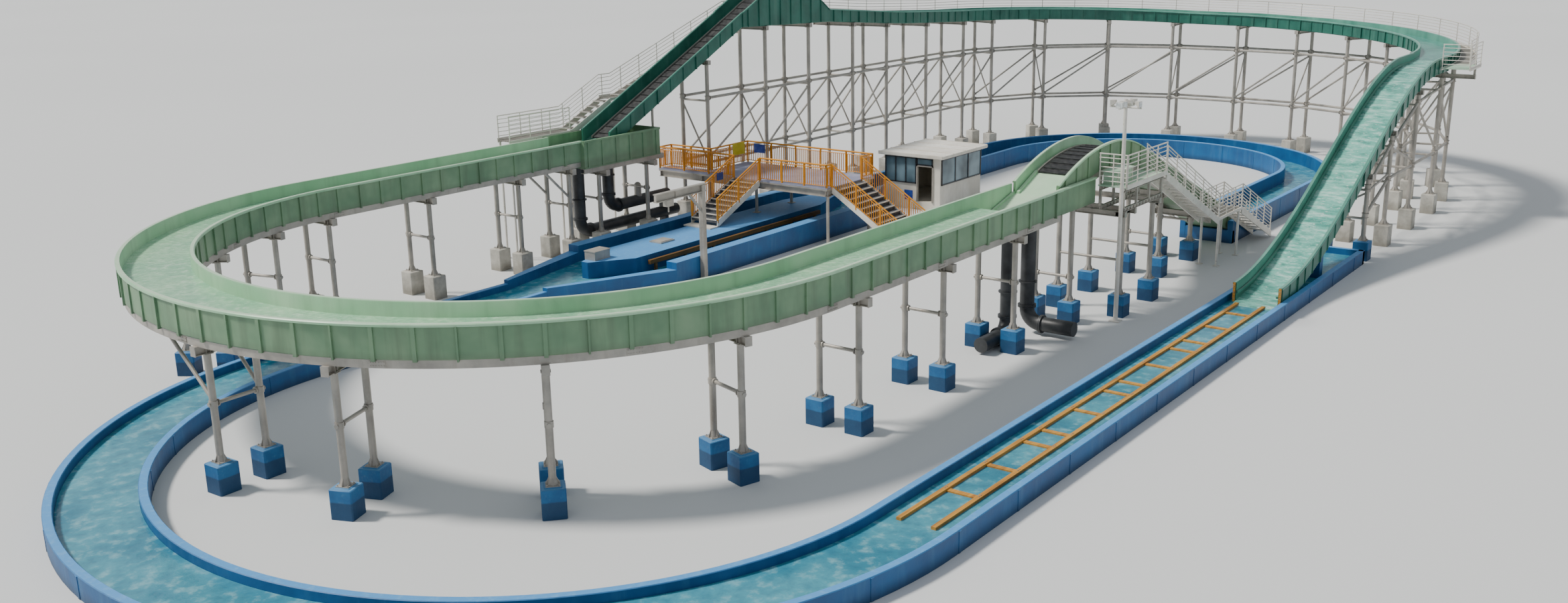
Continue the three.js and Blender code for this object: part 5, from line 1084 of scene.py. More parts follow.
BOX_BEAM_TOP = 3.25
NEAR_POST_Y, FAR_POST_Y = 22.35, 24.9
first_frame = Work()
girder_xs = [*steps(LOW_START_X, STRAIGHT_X, 0.4), 62.6]
girder_run = [Place(x, FRONT_Y, 0, first_top(x) - FIRST_DEPTH) for x in girder_xs]
edge_girders(first_frame, girder_run, FIRST_HALF, 0.001)
for x in (48.6, 57, 60.5):
    under = first_top(x) - FIRST_DEPTH + 0.03
    low_bent(first_frame, Place(x, FRONT_Y), under, FIRST_HALF, BLUE_FOOT, 0.9)
for x in (50.05, 50.95, 53.3):
    beam = Place(x, FRONT_Y)
    left = (NEAR_POST_Y - 0.3 - FRONT_Y, FAR_POST_Y + 0.25 - FRONT_Y)
    crossbeam(first_frame, beam, left, BOX_BEAM_TOP, 0.2, 0.16)
    for side in (-LOW_SPREAD, FAR_POST_Y - FRONT_Y):
        strut = beam.moved(0, side)
        first_frame.upright(strut, BOX_BEAM_TOP - 0.02, first_top(x) - FIRST_DEPTH - 0.2, 0.055)
        first_frame.plate(strut, 0.09, (BOX_BEAM_TOP, BOX_BEAM_TOP + 0.02))
for x in (50.5, 53.3):
    for y in (NEAR_POST_Y, FAR_POST_Y):
        post(first_frame, Place(x, y), BLUE_FOOT, BOX_BEAM_TOP - 0.2)
    first_frame.tube((x, NEAR_POST_Y, 1.3), (x, FAR_POST_Y, 1.3), TIE_RADIUS)
for y in (NEAR_POST_Y, FAR_POST_Y):
    crossbeam(first_frame, Place(50.5, y, -math.pi / 2), (-0.45, 0.45), BOX_BEAM_TOP, 0.2, 0.16)
first_frame.make("first_conveyor_frame", FRAME_FINISHES, ["first_lift_frame"])


# Crest platform of the first conveyor, with its stair and its mast
# A steel box frame carries a pale green floor beside the crest. White railings of six bars stand on
# its open sides, and an open stair leads down over a landing to the ground.
DECK_X, DECK_Y, DECK_TOP = (49.85, 53.6), (21.95, 23.1), 4.2
DECK_RAIL_HEIGHT, DECK_RAIL_IN = 1.2, 0.04
crest_deck = Work()
on_plan = Place(0, 0)
crest_deck.box(on_plan, DECK_X, DECK_Y, (DECK_TOP - 0.04, DECK_TOP), 1)
toe_y = (DECK_Y[0] - 0.02, DECK_Y[0] + 0.02)
crest_deck.box(on_plan, (DECK_X[0] - 0.02, DECK_X[1]), toe_y, (DECK_TOP - 0.08, DECK_TOP + 0.09))
for y in (DECK_Y[0] + 0.17, DECK_Y[1] - 0.07):
    along, run = Place(0, y), (DECK_X[0] + 0.05, DECK_X[1])
    for low, high in ((BOX_BEAM_TOP, BOX_BEAM_TOP + 0.16), (DECK_TOP - 0.2, DECK_TOP - 0.03)):
        for half, up in ((0.05, (high - 0.02, high)), (0.05, (low, low + 0.02)), (0.01, (low, high))):
            crest_deck.box(along, run, (-half, half), up, 2)
        for x in steps(DECK_X[0] + 0.15, DECK_X[1] - 0.15, 0.3):
            crest_deck.box(along, (x - 0.008, x + 0.008), (-0.045, 0.045), (low, high), 2)
    for x in steps(DECK_X[0] + 0.1, DECK_X[1] - 0.15, 1.2):
        stub = (BOX_BEAM_TOP + 0.15, DECK_TOP - 0.19)
        crest_deck.box(along, (x - 0.05, x + 0.05), (-0.04, 0.04), stub, 2)
rail_x, rail_y = DECK_X[0] + DECK_RAIL_IN, DECK_Y[0] + DECK_RAIL_IN
near_rail = line_of([(x, rail_y, DECK_TOP) for x in (rail_x, DECK_X[1])])
side_rail = line_of([(rail_x, y, DECK_TOP) for y in (DECK_Y[1], rail_y)], -math.pi / 2)
railing(crest_deck, near_rail, 0, DECK_RAIL_HEIGHT, 6, 0.9)
railing(crest_deck, side_rail, 0, DECK_RAIL_HEIGHT, 6, 0.6)
cabinet, cabinet_top = Place(50.9, 22.78), DECK_TOP + 0.46
crest_deck.box(cabinet, (-0.75, 0.75), (-0.26, 0.26), (DECK_TOP - 0.01, cabinet_top), 1)
crest_deck.box(cabinet, (-0.79, 0.79), (-0.3, 0.3), (cabinet_top - 0.01, cabinet_top + 0.04), 1)
for ahead in (-0.65, 0, 0.65):
    crest_deck.plate(cabinet.moved(ahead, -0.27), 0.02, (DECK_TOP, cabinet_top))
deck_finishes = [pale_paint, green_floor, steel]
crest_deck.make("crest_platform_steelwork", deck_finishes, ["crest_platform"])

STAIR_Y, FIRST_STAIR_WIDTH, RAIL_FROM_MID = 22.4, 0.9, 0.42
LAND_X, LAND_TOP, STAIR_FOOT_X = (59.7, 62.5), 1.3, 66.8
STAIR_FOOT_TOP = GROUND + 0.28
first_stair = Work()
for high, low, treads in (
    ((DECK_X[1], DECK_TOP), (LAND_X[0], LAND_TOP), 14),
    ((LAND_X[1], LAND_TOP), (STAIR_FOOT_X, STAIR_FOOT_TOP), 8),
):
    top, foot = (Place(x, STAIR_Y, 0, z) for x, z in (high, low))
    flight(first_stair, top, foot, FIRST_STAIR_WIDTH, treads, 0, 0)
walkway_deck(first_stair, line_of([(x, STAIR_Y, LAND_TOP) for x in LAND_X]), (-0.45, 0.45))
for x in (LAND_X[0] + 0.2, LAND_X[1] - 0.2):
    for y in (STAIR_Y - 0.37, STAIR_Y + 0.37):
        first_stair.upright(Place(x, y), GROUND, LAND_TOP - 0.03, 0.055)
        first_stair.plate(Place(x, y), 0.12, (GROUND, GROUND + 0.03))
fall = [(DECK_X[1] + 0.01, DECK_TOP), (LAND_X[0], LAND_TOP), (LAND_X[1], LAND_TOP)]
fall.append((STAIR_FOOT_X - 0.1, STAIR_FOOT_TOP + 0.05))
for y in (STAIR_Y - RAIL_FROM_MID, STAIR_Y + RAIL_FROM_MID):
    for ends in zip(fall, fall[1:]):
        railing(first_stair, line_of([(x, y, z) for x, z in ends]), 0, 1.07, 6, 1.1)
first_stair.make("first_conveyor_stair", WALK_FINISHES, ["first_lift_stair"])

MAST, MAST_TOP = Place(49.7, 22.1), 7.45
lens = Finish("floodlight_glass", roughness=0.15)
lens.shades(lens.patches(12.0, 2.0), (190, 196, 198), (226, 230, 230), 0.4, 0.6)
LAMPS = [(-0.5, 0, 180), (0.62, 0, 0), (0.25, 0, 20), (0, -0.48, -90), (0, 0.48, 90), (-0.2, 0, 200)]
mast = Work()
mast.upright(MAST, GROUND, MAST_TOP, 0.085, 16, 0, 0.065)
mast.plate(MAST, 0.2, (GROUND, GROUND + 0.03))
mast.box(MAST, (0, 0.15), (-0.05, 0.05), (DECK_TOP - 0.12, DECK_TOP))
arm_z = MAST_TOP - 0.3
mast.tube(MAST.at(-0.6, 0, arm_z), MAST.at(0.75, 0, arm_z), 0.03, 10)
mast.tube(MAST.at(0, -0.6, arm_z), MAST.at(0, 0.6, arm_z), 0.03, 10)
for dx, dy, turn in LAMPS:
    lamp = Place(MAST.x + dx, MAST.y + dy, math.radians(turn), MAST_TOP - 0.12)
    case = []
    for a, w, low, high in ((-0.1, 0.07, -0.05, 0.06), (0.07, 0.14, -0.16, 0.06)):
        case.append([lamp.at(a, b, z) for b, z in ((-w, low), (w, low), (w, high), (-w, high))])
    mast.loft(case)
    mast.box(lamp, (0.07, 0.08), (-0.125, 0.125), (-0.15, 0.05), 1)
    mast.box(lamp, (-0.03, 0.0), (-0.015, 0.015), (-0.2, -0.05))
mast.make("floodlight_mast", [pale_paint, lens], ["light_mast"])


# Blue troughs
# Cast walls painted blue and stained where the water stands, with a painted highlight along their
# tops. They lead from the chute round to the station and from the station round to the first conveyor.
blue = Finish("blue_pool_paint", roughness=0.5)
cloud = blue.patches(0.6)
grain = blue.patches(6.0, 5.0)
streaks = blue.patches(2.5, 5.0, (1.0, 1.0, 0.12))
low_down = 1 - (blue.height + streaks * 0.2).between(-0.72, -0.42)
# Upward faces near the wall tops are lightened to a pale blue: a painted highlight.
painted_highlight_tops = blue.upward.between(0.6, 0.95) * blue.height.between(-0.6, -0.4)
painted_highlight_blue = blue.blend(grain.between(0.5, 0.72) * 0.5, (86, 156, 216), (126, 182, 224))
blue.shades(cloud, (8, 78, 132), (20, 100, 158))
blue.over(streaks.between(0.52, 0.78) * 0.4, (72, 130, 170))
blue.over(low_down * 0.7, (20, 54, 84))
blue.over(painted_highlight_tops, painted_highlight_blue)
blue.set("Roughness", cloud * 0.3 + 0.35)
blue.bumps(grain, 0.35)

TROUGH_HALF, TROUGH_WALL, JOINT_PITCH = 1.25, 0.25, 3.0


def trough(work, places, top):
    """A cast trough with worn edges, and a strip over each joint of its lengths on both faces."""
    inner = TROUGH_HALF - TROUGH_WALL
    right = [(TROUGH_HALF, GROUND), (TROUGH_HALF, top - 0.02), (TROUGH_HALF - 0.02, top)]
    right += [(inner + 0.02, top), (inner, top - 0.02), (inner, TROUGH_FLOOR)]
    work.sweep(places, [*right, *[(-left, up) for left, up in reversed(right)]])
    for place in spaced(places, JOINT_PITCH, JOINT_PITCH / 2):
        for side in (-1, 1):
            strip = beside(side, TROUGH_HALF - 0.01, TROUGH_HALF + 0.012)
            work.box(place, (-0.05, 0.05), strip, (GROUND, top - 0.03))


RUN_OUT_Y, RETURN_Y = 18.2, 42.7
LOOP = (29.0, 30.45, 12.25)
LOOP_TOP, BACK_TOP = -0.24, 0.2
RETURN_END_X = 39.2
run_out_route = [Place(x, RUN_OUT_Y, math.pi) for x in steps(RUN_OUT_END_X, LOOP[0], 3.0)]
run_out_route += [round_turn(*LOOP, a) for a in steps(-90, -270, 2.5)[1:-1]]
run_out_route += [Place(x, RETURN_Y) for x in steps(LOOP[0], RETURN_END_X, 3.0)]
run_out_channel = Work()
trough(run_out_channel, run_out_route, LOOP_TOP)
end_wall = (63.45, RUN_OUT_END_X)
run_out_channel.box(Place(0, RUN_OUT_Y), end_wall, (-TROUGH_HALF, TROUGH_HALF), (GROUND, LOOP_TOP))
pier_top = min(chute_top(58.8), chute_top(59.2)) - CHUTE_DEPTH - 0.02
run_out_channel.box(Place(59, RUN_OUT_Y), (-0.2, 0.2), (-0.8, 0.6), (GROUND + 0.02, pier_top))
run_out_nodes = ["run_out_trough", "run_out_loop", "return_trough"]
run_out_channel.make("run_out_channel", [blue], run_out_nodes)

BACK_LOOP = (77.5, 33.3, 9.1)
BACK_NORTH_Y, BACK_START_X, BACK_END_X = 42.4, 63.0, 64.4
back_route = [Place(x, BACK_NORTH_Y) for x in steps(BACK_START_X, BACK_LOOP[0], 3.0)]
back_route += [round_turn(*BACK_LOOP, a) for a in steps(90, -90, 2.5)[1:-1]]
back_route += [Place(x, FRONT_Y, math.pi) for x in steps(BACK_LOOP[0], BACK_END_X, 3.0)]
back_channel = Work()
trough(back_channel, back_route, BACK_TOP)
sill_x = (BACK_END_X + 0.01, BACK_END_X + 0.25)
sill_top = first_top(sill_x[1]) - FIRST_DEPTH - 0.01
back_channel.box(Place(0, FRONT_Y), sill_x, (-TROUGH_HALF, TROUGH_HALF), (GROUND, sill_top))
back_nodes = ["back_loop_north", "back_loop_turn", "back_loop_south"]
back_channel.make("back_channel", [blue], back_nodes)

water = Finish("pool_water", roughness=0.08)
ripple = water.patches(2.4, 5.0)
swell = water.patches(0.35, 2.0)
water.shades(swell, (48, 126, 150), (84, 160, 178), 0.35, 0.65)
water.over(ripple.between(0.52, 0.72) * 0.55, (156, 206, 212))
water.over(ripple.between(0.5, 0.3) * 0.4, (34, 92, 120))
water.bumps(ripple, 0.45, 0.03)
WATER_LEVEL, WATER_BED, WATER_HALF = -0.5, -0.74, 0.995
trough_water = Work()
wet_run_out = [Place(end_wall[0] + 0.01, RUN_OUT_Y, math.pi)]
wet_run_out += [p for p in run_out_route if p.x < end_wall[0] - 0.05 or p.y > MIDDLE_Y]
wet_back = [p for p in back_route if p.x > sill_x[1] + 0.05 or p.y > MIDDLE_Y]
wet_back += [Place(sill_x[1] - 0.01, FRONT_Y, math.pi)]
for places in (wet_run_out, wet_back):
    water_in(trough_water, places, WATER_HALF, -WATER_BED, -WATER_LEVEL)
trough_water.make("trough_water", [water])


# Timber ladder in the run-out
# Two squared timber rails with sleepers between them line the bed below the chute, and timber strips
# face its end. They are golden hardwood, dark where they stay wet, and bolted through.
timber = Finish("wet_golden_timber", roughness=0.6)
grain = timber.patches(3.0, 6.0, (0.15, 3.0, 3.0))
cloud = timber.patches(0.8)
timber.shades(grain, (206, 150, 62), (164, 106, 42), 0.4)
timber.over(cloud.between(0.5, 0.75) * 0.5, (122, 86, 48))
timber.set("Roughness", grain * 0.4 + 0.4)
timber.bumps(grain, 0.4)
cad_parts["run_out_ladder"].data.materials[0] = timber.material

LADDER_RAIL_TOP, LADDER_RAIL_YS = -0.42, (17.75, 18.75)
LENGTH_STARTS, SLEEPER_PITCH = (31.6, 36.93, 42.26, 47.6), 2.1
bolt_up = (LADDER_RAIL_TOP - 0.01, LADDER_RAIL_TOP + 0.018)
ladder_bolts = Work()
for start in LENGTH_STARTS:
    for i in range(3):
        for y in LADDER_RAIL_YS:
            for away in (-0.05, 0.05):
                ladder_bolts.upright(Place(start + SLEEPER_PITCH * i + away, y), *bolt_up, 0.02, 6)
ladder_bolts.make("ladder_bolts", [steel])

fenders = Work()
chute_foot = Place(CHUTE_END_X, CHUTE_Y)
for side in (-1, 1):
    left = beside(side, CHUTE_HALF - 0.06, CHUTE_HALF + 0.02)
    for up in ((-0.44, -0.2), (-0.19, 0.05), (0.06, 0.29)):
        fenders.box(chute_foot, (-0.07, 0.01), left, up)
    for z in (-0.32, -0.07, 0.18):
        bolt = chute_foot.moved(-0.085, side * (CHUTE_HALF - 0.02), z)
        fenders.tube(bolt.at(), bolt.at(0.025), 0.02, 8, 1)
fenders.make("chute_fenders", [timber, steel])


# Station
# Painted basin walls round two lanes beside an island. Timber guide rails line the near lane, and
# steel covers lie on the island.
for node in ("station_entry", "station_exit", "station_basin", "station_island"):
    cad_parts[node].data.materials[0] = blue.material
wet_timber = Finish("dark_wet_timber", roughness=0.5)
grain = wet_timber.patches(3.0, 6.0, (0.15, 3.0, 3.0))
cloud = wet_timber.patches(0.8)
wet_timber.shades(grain, (124, 88, 42), (84, 60, 34), 0.4)
wet_timber.over(cloud.between(0.5, 0.75) * 0.6, (52, 42, 30))
wet_timber.bumps(grain, 0.4)
GUIDE_YS, GUIDE_START_X, GUIDE_END_X, GUIDE_FOOT, GUIDE_TOP = (39.85, 40.9), 44.6, 57.0, -0.16, 0.02
guides = Work()
for y in GUIDE_YS:
    guides.box(Place(0, y), (GUIDE_START_X, GUIDE_END_X), (-0.07, 0.07), (GUIDE_FOOT, GUIDE_TOP))
    for x in steps(GUIDE_START_X + 0.4, GUIDE_END_X - 0.4, 2.3):
        guides.box(Place(x, y), (-0.06, 0.06), (-0.05, 0.05), (TROUGH_FLOOR, GUIDE_FOOT + 0.01))
guides.make("lane_guides", [wet_timber])

ISLAND_TOP = 0.2
cover = Work()
for place, ahead, left, low, high in (
    (Place(47, 42.3), 0.45, 0.35, 0, 0.06),
    (Place(47, 42.3), 0.39, 0.29, 0.05, 0.08),
    (Place(43.1, 42.45), 0.45, 0.3, 0, 0.36),
    (Place(43.1, 42.45), 0.47, 0.32, 0.35, 0.39),
):
    cover.box(place, (-ahead, ahead), (-left, left), (ISLAND_TOP + low, ISLAND_TOP + high))
cover.make("island_covers", [steel])

LANE_NEAR_Y, LANE_FAR_Y = 39.65, 44.8
lanes = Work()
rings = []
for x, near, far in (
    (RETURN_END_X, RETURN_Y - 1.0, RETURN_Y + 1.0),
    (44.3, LANE_NEAR_Y, LANE_FAR_Y),
    (58.6, LANE_NEAR_Y, LANE_FAR_Y),
    (BACK_START_X, 41.4, 43.4),
):
    corners = ((near, WATER_BED), (far, WATER_BED), (far, WATER_LEVEL), (near, WATER_LEVEL))
    rings.append([(x, y, z) for y, z in corners])
lanes.loft(rings)
lanes.make("station_water", [water])


# Platform over the station
# A steel deck on round columns, with orange railings of upright bars. One stair goes down to the
# island and another to the deck beside the station, both with dark treads and pale nosings.
orange = Finish("orange_rail_paint", roughness=0.4, metallic=0.1)
cloud = orange.patches(1.5)
chips = orange.patches(8.0, 4.0)
orange.shades(cloud, (204, 130, 14), (224, 152, 34))
orange.over(chips.between(0.62, 0.74) * 0.5, (124, 88, 42))
orange.set("Roughness", cloud * 0.25 + 0.3)

blue_floor = Finish("blue_deck_coat", roughness=0.6)
cloud = blue_floor.patches(1.0)
scuffs = blue_floor.patches(6.0, 5.0)
blue_floor.shades(cloud, (132, 138, 164), (158, 162, 184))
blue_floor.over(scuffs.between(0.55, 0.75) * 0.4, (98, 100, 112))

slate = Finish("slate_tread", roughness=0.7)
grain = slate.patches(8.0, 5.0)
slate.shades(grain, (62, 66, 72), (92, 96, 100), 0.4)
slate.bumps(grain, 0.4)

cream = Finish("cream_wall_paint", roughness=0.6)
cloud = cream.patches(0.8)
streaks = cream.patches(2.0, 4.0, (1.0, 1.0, 0.12))
cream.shades(cloud, (214, 208, 194), (234, 230, 220))
cream.over(streaks.between(0.5, 0.8) * 0.4, (168, 158, 140))
cream.bumps(cloud, 0.1)

PLATFORM_TOP = 1.9
WEST, EAST, NEAR, FAR = 53.7, 57.6, 38.1, 45.8
ARM_EAST, ARM_FAR = 54.7, 48.4
platform = Work()
for x, y in (((WEST, EAST), (NEAR, FAR)), ((WEST, ARM_EAST), (FAR - 0.01, ARM_FAR))):
    platform.box(on_plan, x, y, (PLATFORM_TOP - 0.05, PLATFORM_TOP), 1)
    platform.box(on_plan, x, y, (PLATFORM_TOP - 0.12, PLATFORM_TOP - 0.05), 2)


def plan_line(start, end):
    """The direction and the length of a line on the plan."""
    across, along = end[0] - start[0], end[1] - start[1]
    return math.atan2(along, across), math.hypot(across, along)


for start, end in (
    ((WEST, NEAR + 0.1), (EAST, NEAR + 0.1)),
    ((WEST, 42.6), (EAST, 42.6)),
    ((WEST, FAR - 0.19), (EAST, FAR - 0.19)),
    ((WEST, ARM_FAR - 0.1), (ARM_EAST, ARM_FAR - 0.1)),
    ((WEST + 0.1, NEAR), (WEST + 0.1, ARM_FAR)),
    ((EAST - 0.1, NEAR), (EAST - 0.1, FAR)),
    ((ARM_EAST - 0.1, FAR), (ARM_EAST - 0.1, ARM_FAR)),
):
    heading, length = plan_line(start, end)
    beam = Place(*start, heading, PLATFORM_TOP - 0.12)
    for half, up in ((0.08, (-0.02, 0)), (0.08, (-0.28, -0.26)), (0.01, (-0.28, 0))):
        platform.box(beam, (0, length), (-half, half), up, 2)
columns = [(53.9, 38.2, GROUND), (57.3, 38.2, GROUND), (54.2, 42.6, ISLAND_TOP)]
columns += [(57.0, 42.6, ISLAND_TOP), (54.1, 48.3, GROUND), (57.4, 45.61, GROUND)]
for x, y, foot in columns:
    column = Place(x, y)
    platform.upright(column, foot, PLATFORM_TOP - 0.39, 0.075, 16, 2)
    platform.plate(column, 0.15, (foot, foot + 0.025), 2)
    platform.plate(column, 0.12, (PLATFORM_TOP - 0.42, PLATFORM_TOP - 0.4), 2)


TOP_RAIL, UNDER_RAIL, FOOT_RAIL = 1.06, 0.93, 0.1
RAIL_POST_PITCH, BAR_PITCH = 1.5, 0.12


def barred_rail(work, points):
    """Lengths of railing with upright bars between a top and a bottom rail."""
    for start, end in zip(points, points[1:]):
        heading, run = plan_line(start, end)
        places = line_of([start, end], heading)
        for up, radius, sides in ((TOP_RAIL, 0.04, 10), (UNDER_RAIL, 0.022, 6), (FOOT_RAIL, 0.022, 6)):
            work.round_bar(places, 0, up, radius, sides)
        for place in spaced(places, run / max(1, round(run / RAIL_POST_PITCH)) - 1e-4):
            work.upright(place, -0.08, TOP_RAIL + 0.02, 0.048, 10)
        for place in spaced(places, run / max(1, round(run / BAR_PITCH))):
            work.upright(place, FOOT_RAIL, UNDER_RAIL, 0.022, 6)


RAIL_IN = 0.05
west_rail, east_rail, near_rail = WEST + RAIL_IN, EAST - RAIL_IN, NEAR + RAIL_IN
ISLAND_STAIR_YS, DECK_STAIR_XS = (42.0, 43.6), (54.1, 56.6)
near_corner = [(west_rail, ISLAND_STAIR_YS[0]), (west_rail, near_rail), (DECK_STAIR_XS[0], near_rail)]
far_corners = [(west_rail, ISLAND_STAIR_YS[1]), (west_rail, ARM_FAR - RAIL_IN)]
far_corners += [(ARM_EAST - RAIL_IN, ARM_FAR - RAIL_IN), (ARM_EAST - RAIL_IN, FAR - RAIL_IN)]
far_corners += [(east_rail, FAR - RAIL_IN), (east_rail, near_rail), (DECK_STAIR_XS[1], near_rail)]
for corners in (near_corner, far_corners):
    barred_rail(platform, [(x, y, PLATFORM_TOP) for x, y in corners])
platform.make("station_platform", [orange, blue_floor, steel], ["platform"])

STAIR_FINISHES = [orange, slate, cream]
ISLAND_FOOT_X, ISLAND_STAIR_Y, FIRST_TREAD = 50.5, 42.8, 0.28
island_stair = Work()
high_end = Place(WEST - 0.001, ISLAND_STAIR_Y, math.pi, PLATFORM_TOP)
low_end = Place(ISLAND_FOOT_X, ISLAND_STAIR_Y, math.pi, ISLAND_TOP + FIRST_TREAD)
flight(island_stair, high_end, low_end, 1.6, 9, 2, 1, True)
foot_plate = Place(ISLAND_FOOT_X - 0.2, ISLAND_STAIR_Y)
island_stair.box(foot_plate, (-0.35, 0.3), (-0.8, 0.8), (ISLAND_TOP, ISLAND_TOP + 0.06), 2)
for y in (42.03, 43.57):
    rail_foot = (ISLAND_FOOT_X + 0.05, y, ISLAND_TOP + FIRST_TREAD)
    barred_rail(island_stair, [(WEST, y, PLATFORM_TOP - 0.02), rail_foot])
island_stair.make("island_stair_steelwork", STAIR_FINISHES, ["island_stair"])

DECK_FOOT_Y = 34.1
deck_stair = Work()
mid_x = sum(DECK_STAIR_XS) / 2
high_end = Place(mid_x, NEAR - 0.001, -math.pi / 2, PLATFORM_TOP)
low_end = Place(mid_x, DECK_FOOT_Y, -math.pi / 2, GROUND + FIRST_TREAD)
flight(deck_stair, high_end, low_end, DECK_STAIR_XS[1] - DECK_STAIR_XS[0], 13, 2, 1, True)
for x in (DECK_STAIR_XS[0] + 0.03, DECK_STAIR_XS[1] - 0.03):
    rail_foot = (x, DECK_FOOT_Y + 0.05, GROUND + FIRST_TREAD)
    barred_rail(deck_stair, [(x, NEAR, PLATFORM_TOP - 0.02), rail_foot])
deck_stair.make("deck_stair_steelwork", STAIR_FINISHES, ["deck_stair"])


# Jib post
# A short square-section post with a long arm over the lane, where a hoist block hangs.
# All of it is galvanised steel, welded up from plate and bolted down through its foot.
JIB = Place(45.9, 38.969)
ARM_TIP, ARM_TAIL, ARM_LOW, ARM_HIGH = -2.9, 0.2, 2.95, 3.3
jib = Work()
jib.plate(JIB, 0.11, (GROUND, 3.25))
jib.box(JIB, (-0.2, 0.2), (-0.125, 0.125), (GROUND, GROUND + 0.03))
for up in ((ARM_HIGH - 0.04, ARM_HIGH), (ARM_LOW, ARM_LOW + 0.04)):
    jib.box(JIB, (ARM_TIP, ARM_TAIL), (-0.1, 0.1), up)
arm_web = (ARM_LOW + 0.02, ARM_HIGH - 0.02)
jib.box(JIB, (ARM_TIP + 0.02, ARM_TAIL - 0.02), (-0.02, 0.02), arm_web)
for a in (ARM_TIP + 0.02, -1.7, 0.0, ARM_TAIL - 0.02):
    jib.box(JIB, (a - 0.01, a + 0.01), (-0.06, 0.06), arm_web)
brace_ends = [JIB.moved(-0.08, 0, 2.2), JIB.moved(-0.8, 0, 2.95)]
jib.bar(brace_ends, (-0.05, 0.05), (-0.06, 0.06))
jib.box(JIB, (-2.3, -1.9), (-0.12, 0.12), (2.7, 2.96))
jib.upright(JIB.moved(-2.1), 2.7, 2.45, 0.03, 8)
jib.make("jib", [steel], ["jib_post"])


# Operator's booth
# A small cream room with a flat roof slab that overhangs, dark window frames with clear panes on
# two sides, and an open doorway.
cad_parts["booth_walls"].data.materials[0] = cream.material
roof_paint = Finish("roof_slab", roughness=0.7)
cloud = roof_paint.patches(0.8)
grain = roof_paint.patches(7.0, 5.0)
roof_paint.shades(cloud, (222, 218, 208), (240, 237, 229))
roof_paint.over(grain.between(0.55, 0.75) * 0.35, (150, 144, 134))
roof_paint.bumps(grain, 0.3)
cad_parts["booth_roof"].data.materials[0] = roof_paint.material
dark_frame = Finish("dark_window_frame", roughness=0.4)
dark_frame.shades(dark_frame.patches(8.0, 3.0), (38, 40, 44), (62, 64, 68), 0.4)
pane = Finish("booth_glass", roughness=0.05)
pane.shades(pane.patches(0.6, 2.0), (62, 82, 92), (128, 152, 162), 0.35, 0.65)
booth = Work()


def window(place, width, sill, head, panes):
    """A dark frame set in a wall opening, with bars between its panes."""
    for up in ((sill, sill + 0.06), (head - 0.06, head)):
        booth.box(place, (0, width), (-0.04, 0.04), up)
    for a in steps(0.03, width - 0.03, (width - 0.06) / panes):
        booth.box(place, (a - 0.03, a + 0.03), (-0.04, 0.04), (sill, head))
    booth.box(place, (0.03, width - 0.03), (-0.006, 0.006), (sill + 0.03, head - 0.03), 1)


GLASS_SILL, GLASS_HEAD, TRANSOM, DOOR_SILL = 0.5, 1.86, 1.48, -0.43
window(Place(63.4, 37.775), 4.05, GLASS_SILL, GLASS_HEAD, 3)
window(Place(63.275, 39.2, math.pi / 2), 1.9, GLASS_SILL, GLASS_HEAD, 3)
window(Place(63.275, 38.22, math.pi / 2), 0.96, TRANSOM, GLASS_HEAD, 1)
doorway = Place(63.29, 38.2)
for left, up in (
    ((0, 0.06), (DOOR_SILL, TRANSOM)),
    ((0.93, 0.99), (DOOR_SILL, TRANSOM)),
    ((0, 0.99), (TRANSOM - 0.06, TRANSOM)),
):
    booth.box(doorway, (-0.05, 0.06), left, up, 2)
booth.make("booth_windows", [dark_frame, pane, steel])

ROOF_X, ROOF_Y, ROOF_EDGE = (63.05, 67.75), (37.55, 41.399), (1.93, 2.06)
trim = Work()
for edge_x, edge_y in (
    ((ROOF_X[0] - 0.02, ROOF_X[0]), ROOF_Y),
    ((ROOF_X[1], ROOF_X[1] + 0.02), ROOF_Y),
    (ROOF_X, (ROOF_Y[0] - 0.02, ROOF_Y[0])),
):
    trim.box(on_plan, edge_x, edge_y, ROOF_EDGE)
for x in steps(ROOF_X[0] + 0.02, ROOF_X[1] - 0.02, 1.2):
    trim.box(on_plan, (x - 0.025, x + 0.025), ROOF_Y, (2.04, 2.085))
trim.make("roof_edging", [cream])


# Notice boards
# Thin enamelled plates with a folded edge, held to the rails by clips: yellow and blue ones at the
# platform's far corner, a blue one on the island stair and another beside the booth's door.
yellow_enamel = Finish("yellow_enamel", roughness=0.35)
yellow_enamel.shades(yellow_enamel.patches(3.0), (206, 190, 40), (226, 210, 66))
yellow_enamel.over(yellow_enamel.patches(12.0, 4.0).between(0.6, 0.72) * 0.5, (150, 134, 60))
blue_enamel = Finish("blue_enamel", roughness=0.35)
blue_enamel.shades(blue_enamel.patches(3.0), (34, 54, 128), (50, 74, 150))
blue_enamel.over(blue_enamel.patches(12.0, 4.0).between(0.6, 0.72) * 0.5, (120, 130, 160))
boards = Work()
for place, width, low, high, finish in (
    (Place(56.75, 45.69, -math.pi / 2), 0.95, 2.38, 2.98, 0),
    (Place(57.49, 44.95, math.pi), 0.7, 2.43, 2.87, 1),
    (Place(52.58, 43.51, -math.pi / 2), 0.45, 1.95, 2.3, 1),
    (Place(63.02, 39.52, math.pi), 0.5, -0.33, 0.18, 1),
):
    half = width / 2
    boards.box(place, (-0.004, 0.004), (-half, half), (low, high), finish)
    for up in ((low, low + 0.02), (high - 0.02, high)):
        boards.box(place, (-0.02, 0.0), (-half, half), up, finish)
    for side in (-half, half):
        boards.box(place, (-0.02, 0.0), sorted((side, side * 0.95)), (low, high), finish)
boards.make("notice_boards", [yellow_enamel, blue_enamel])


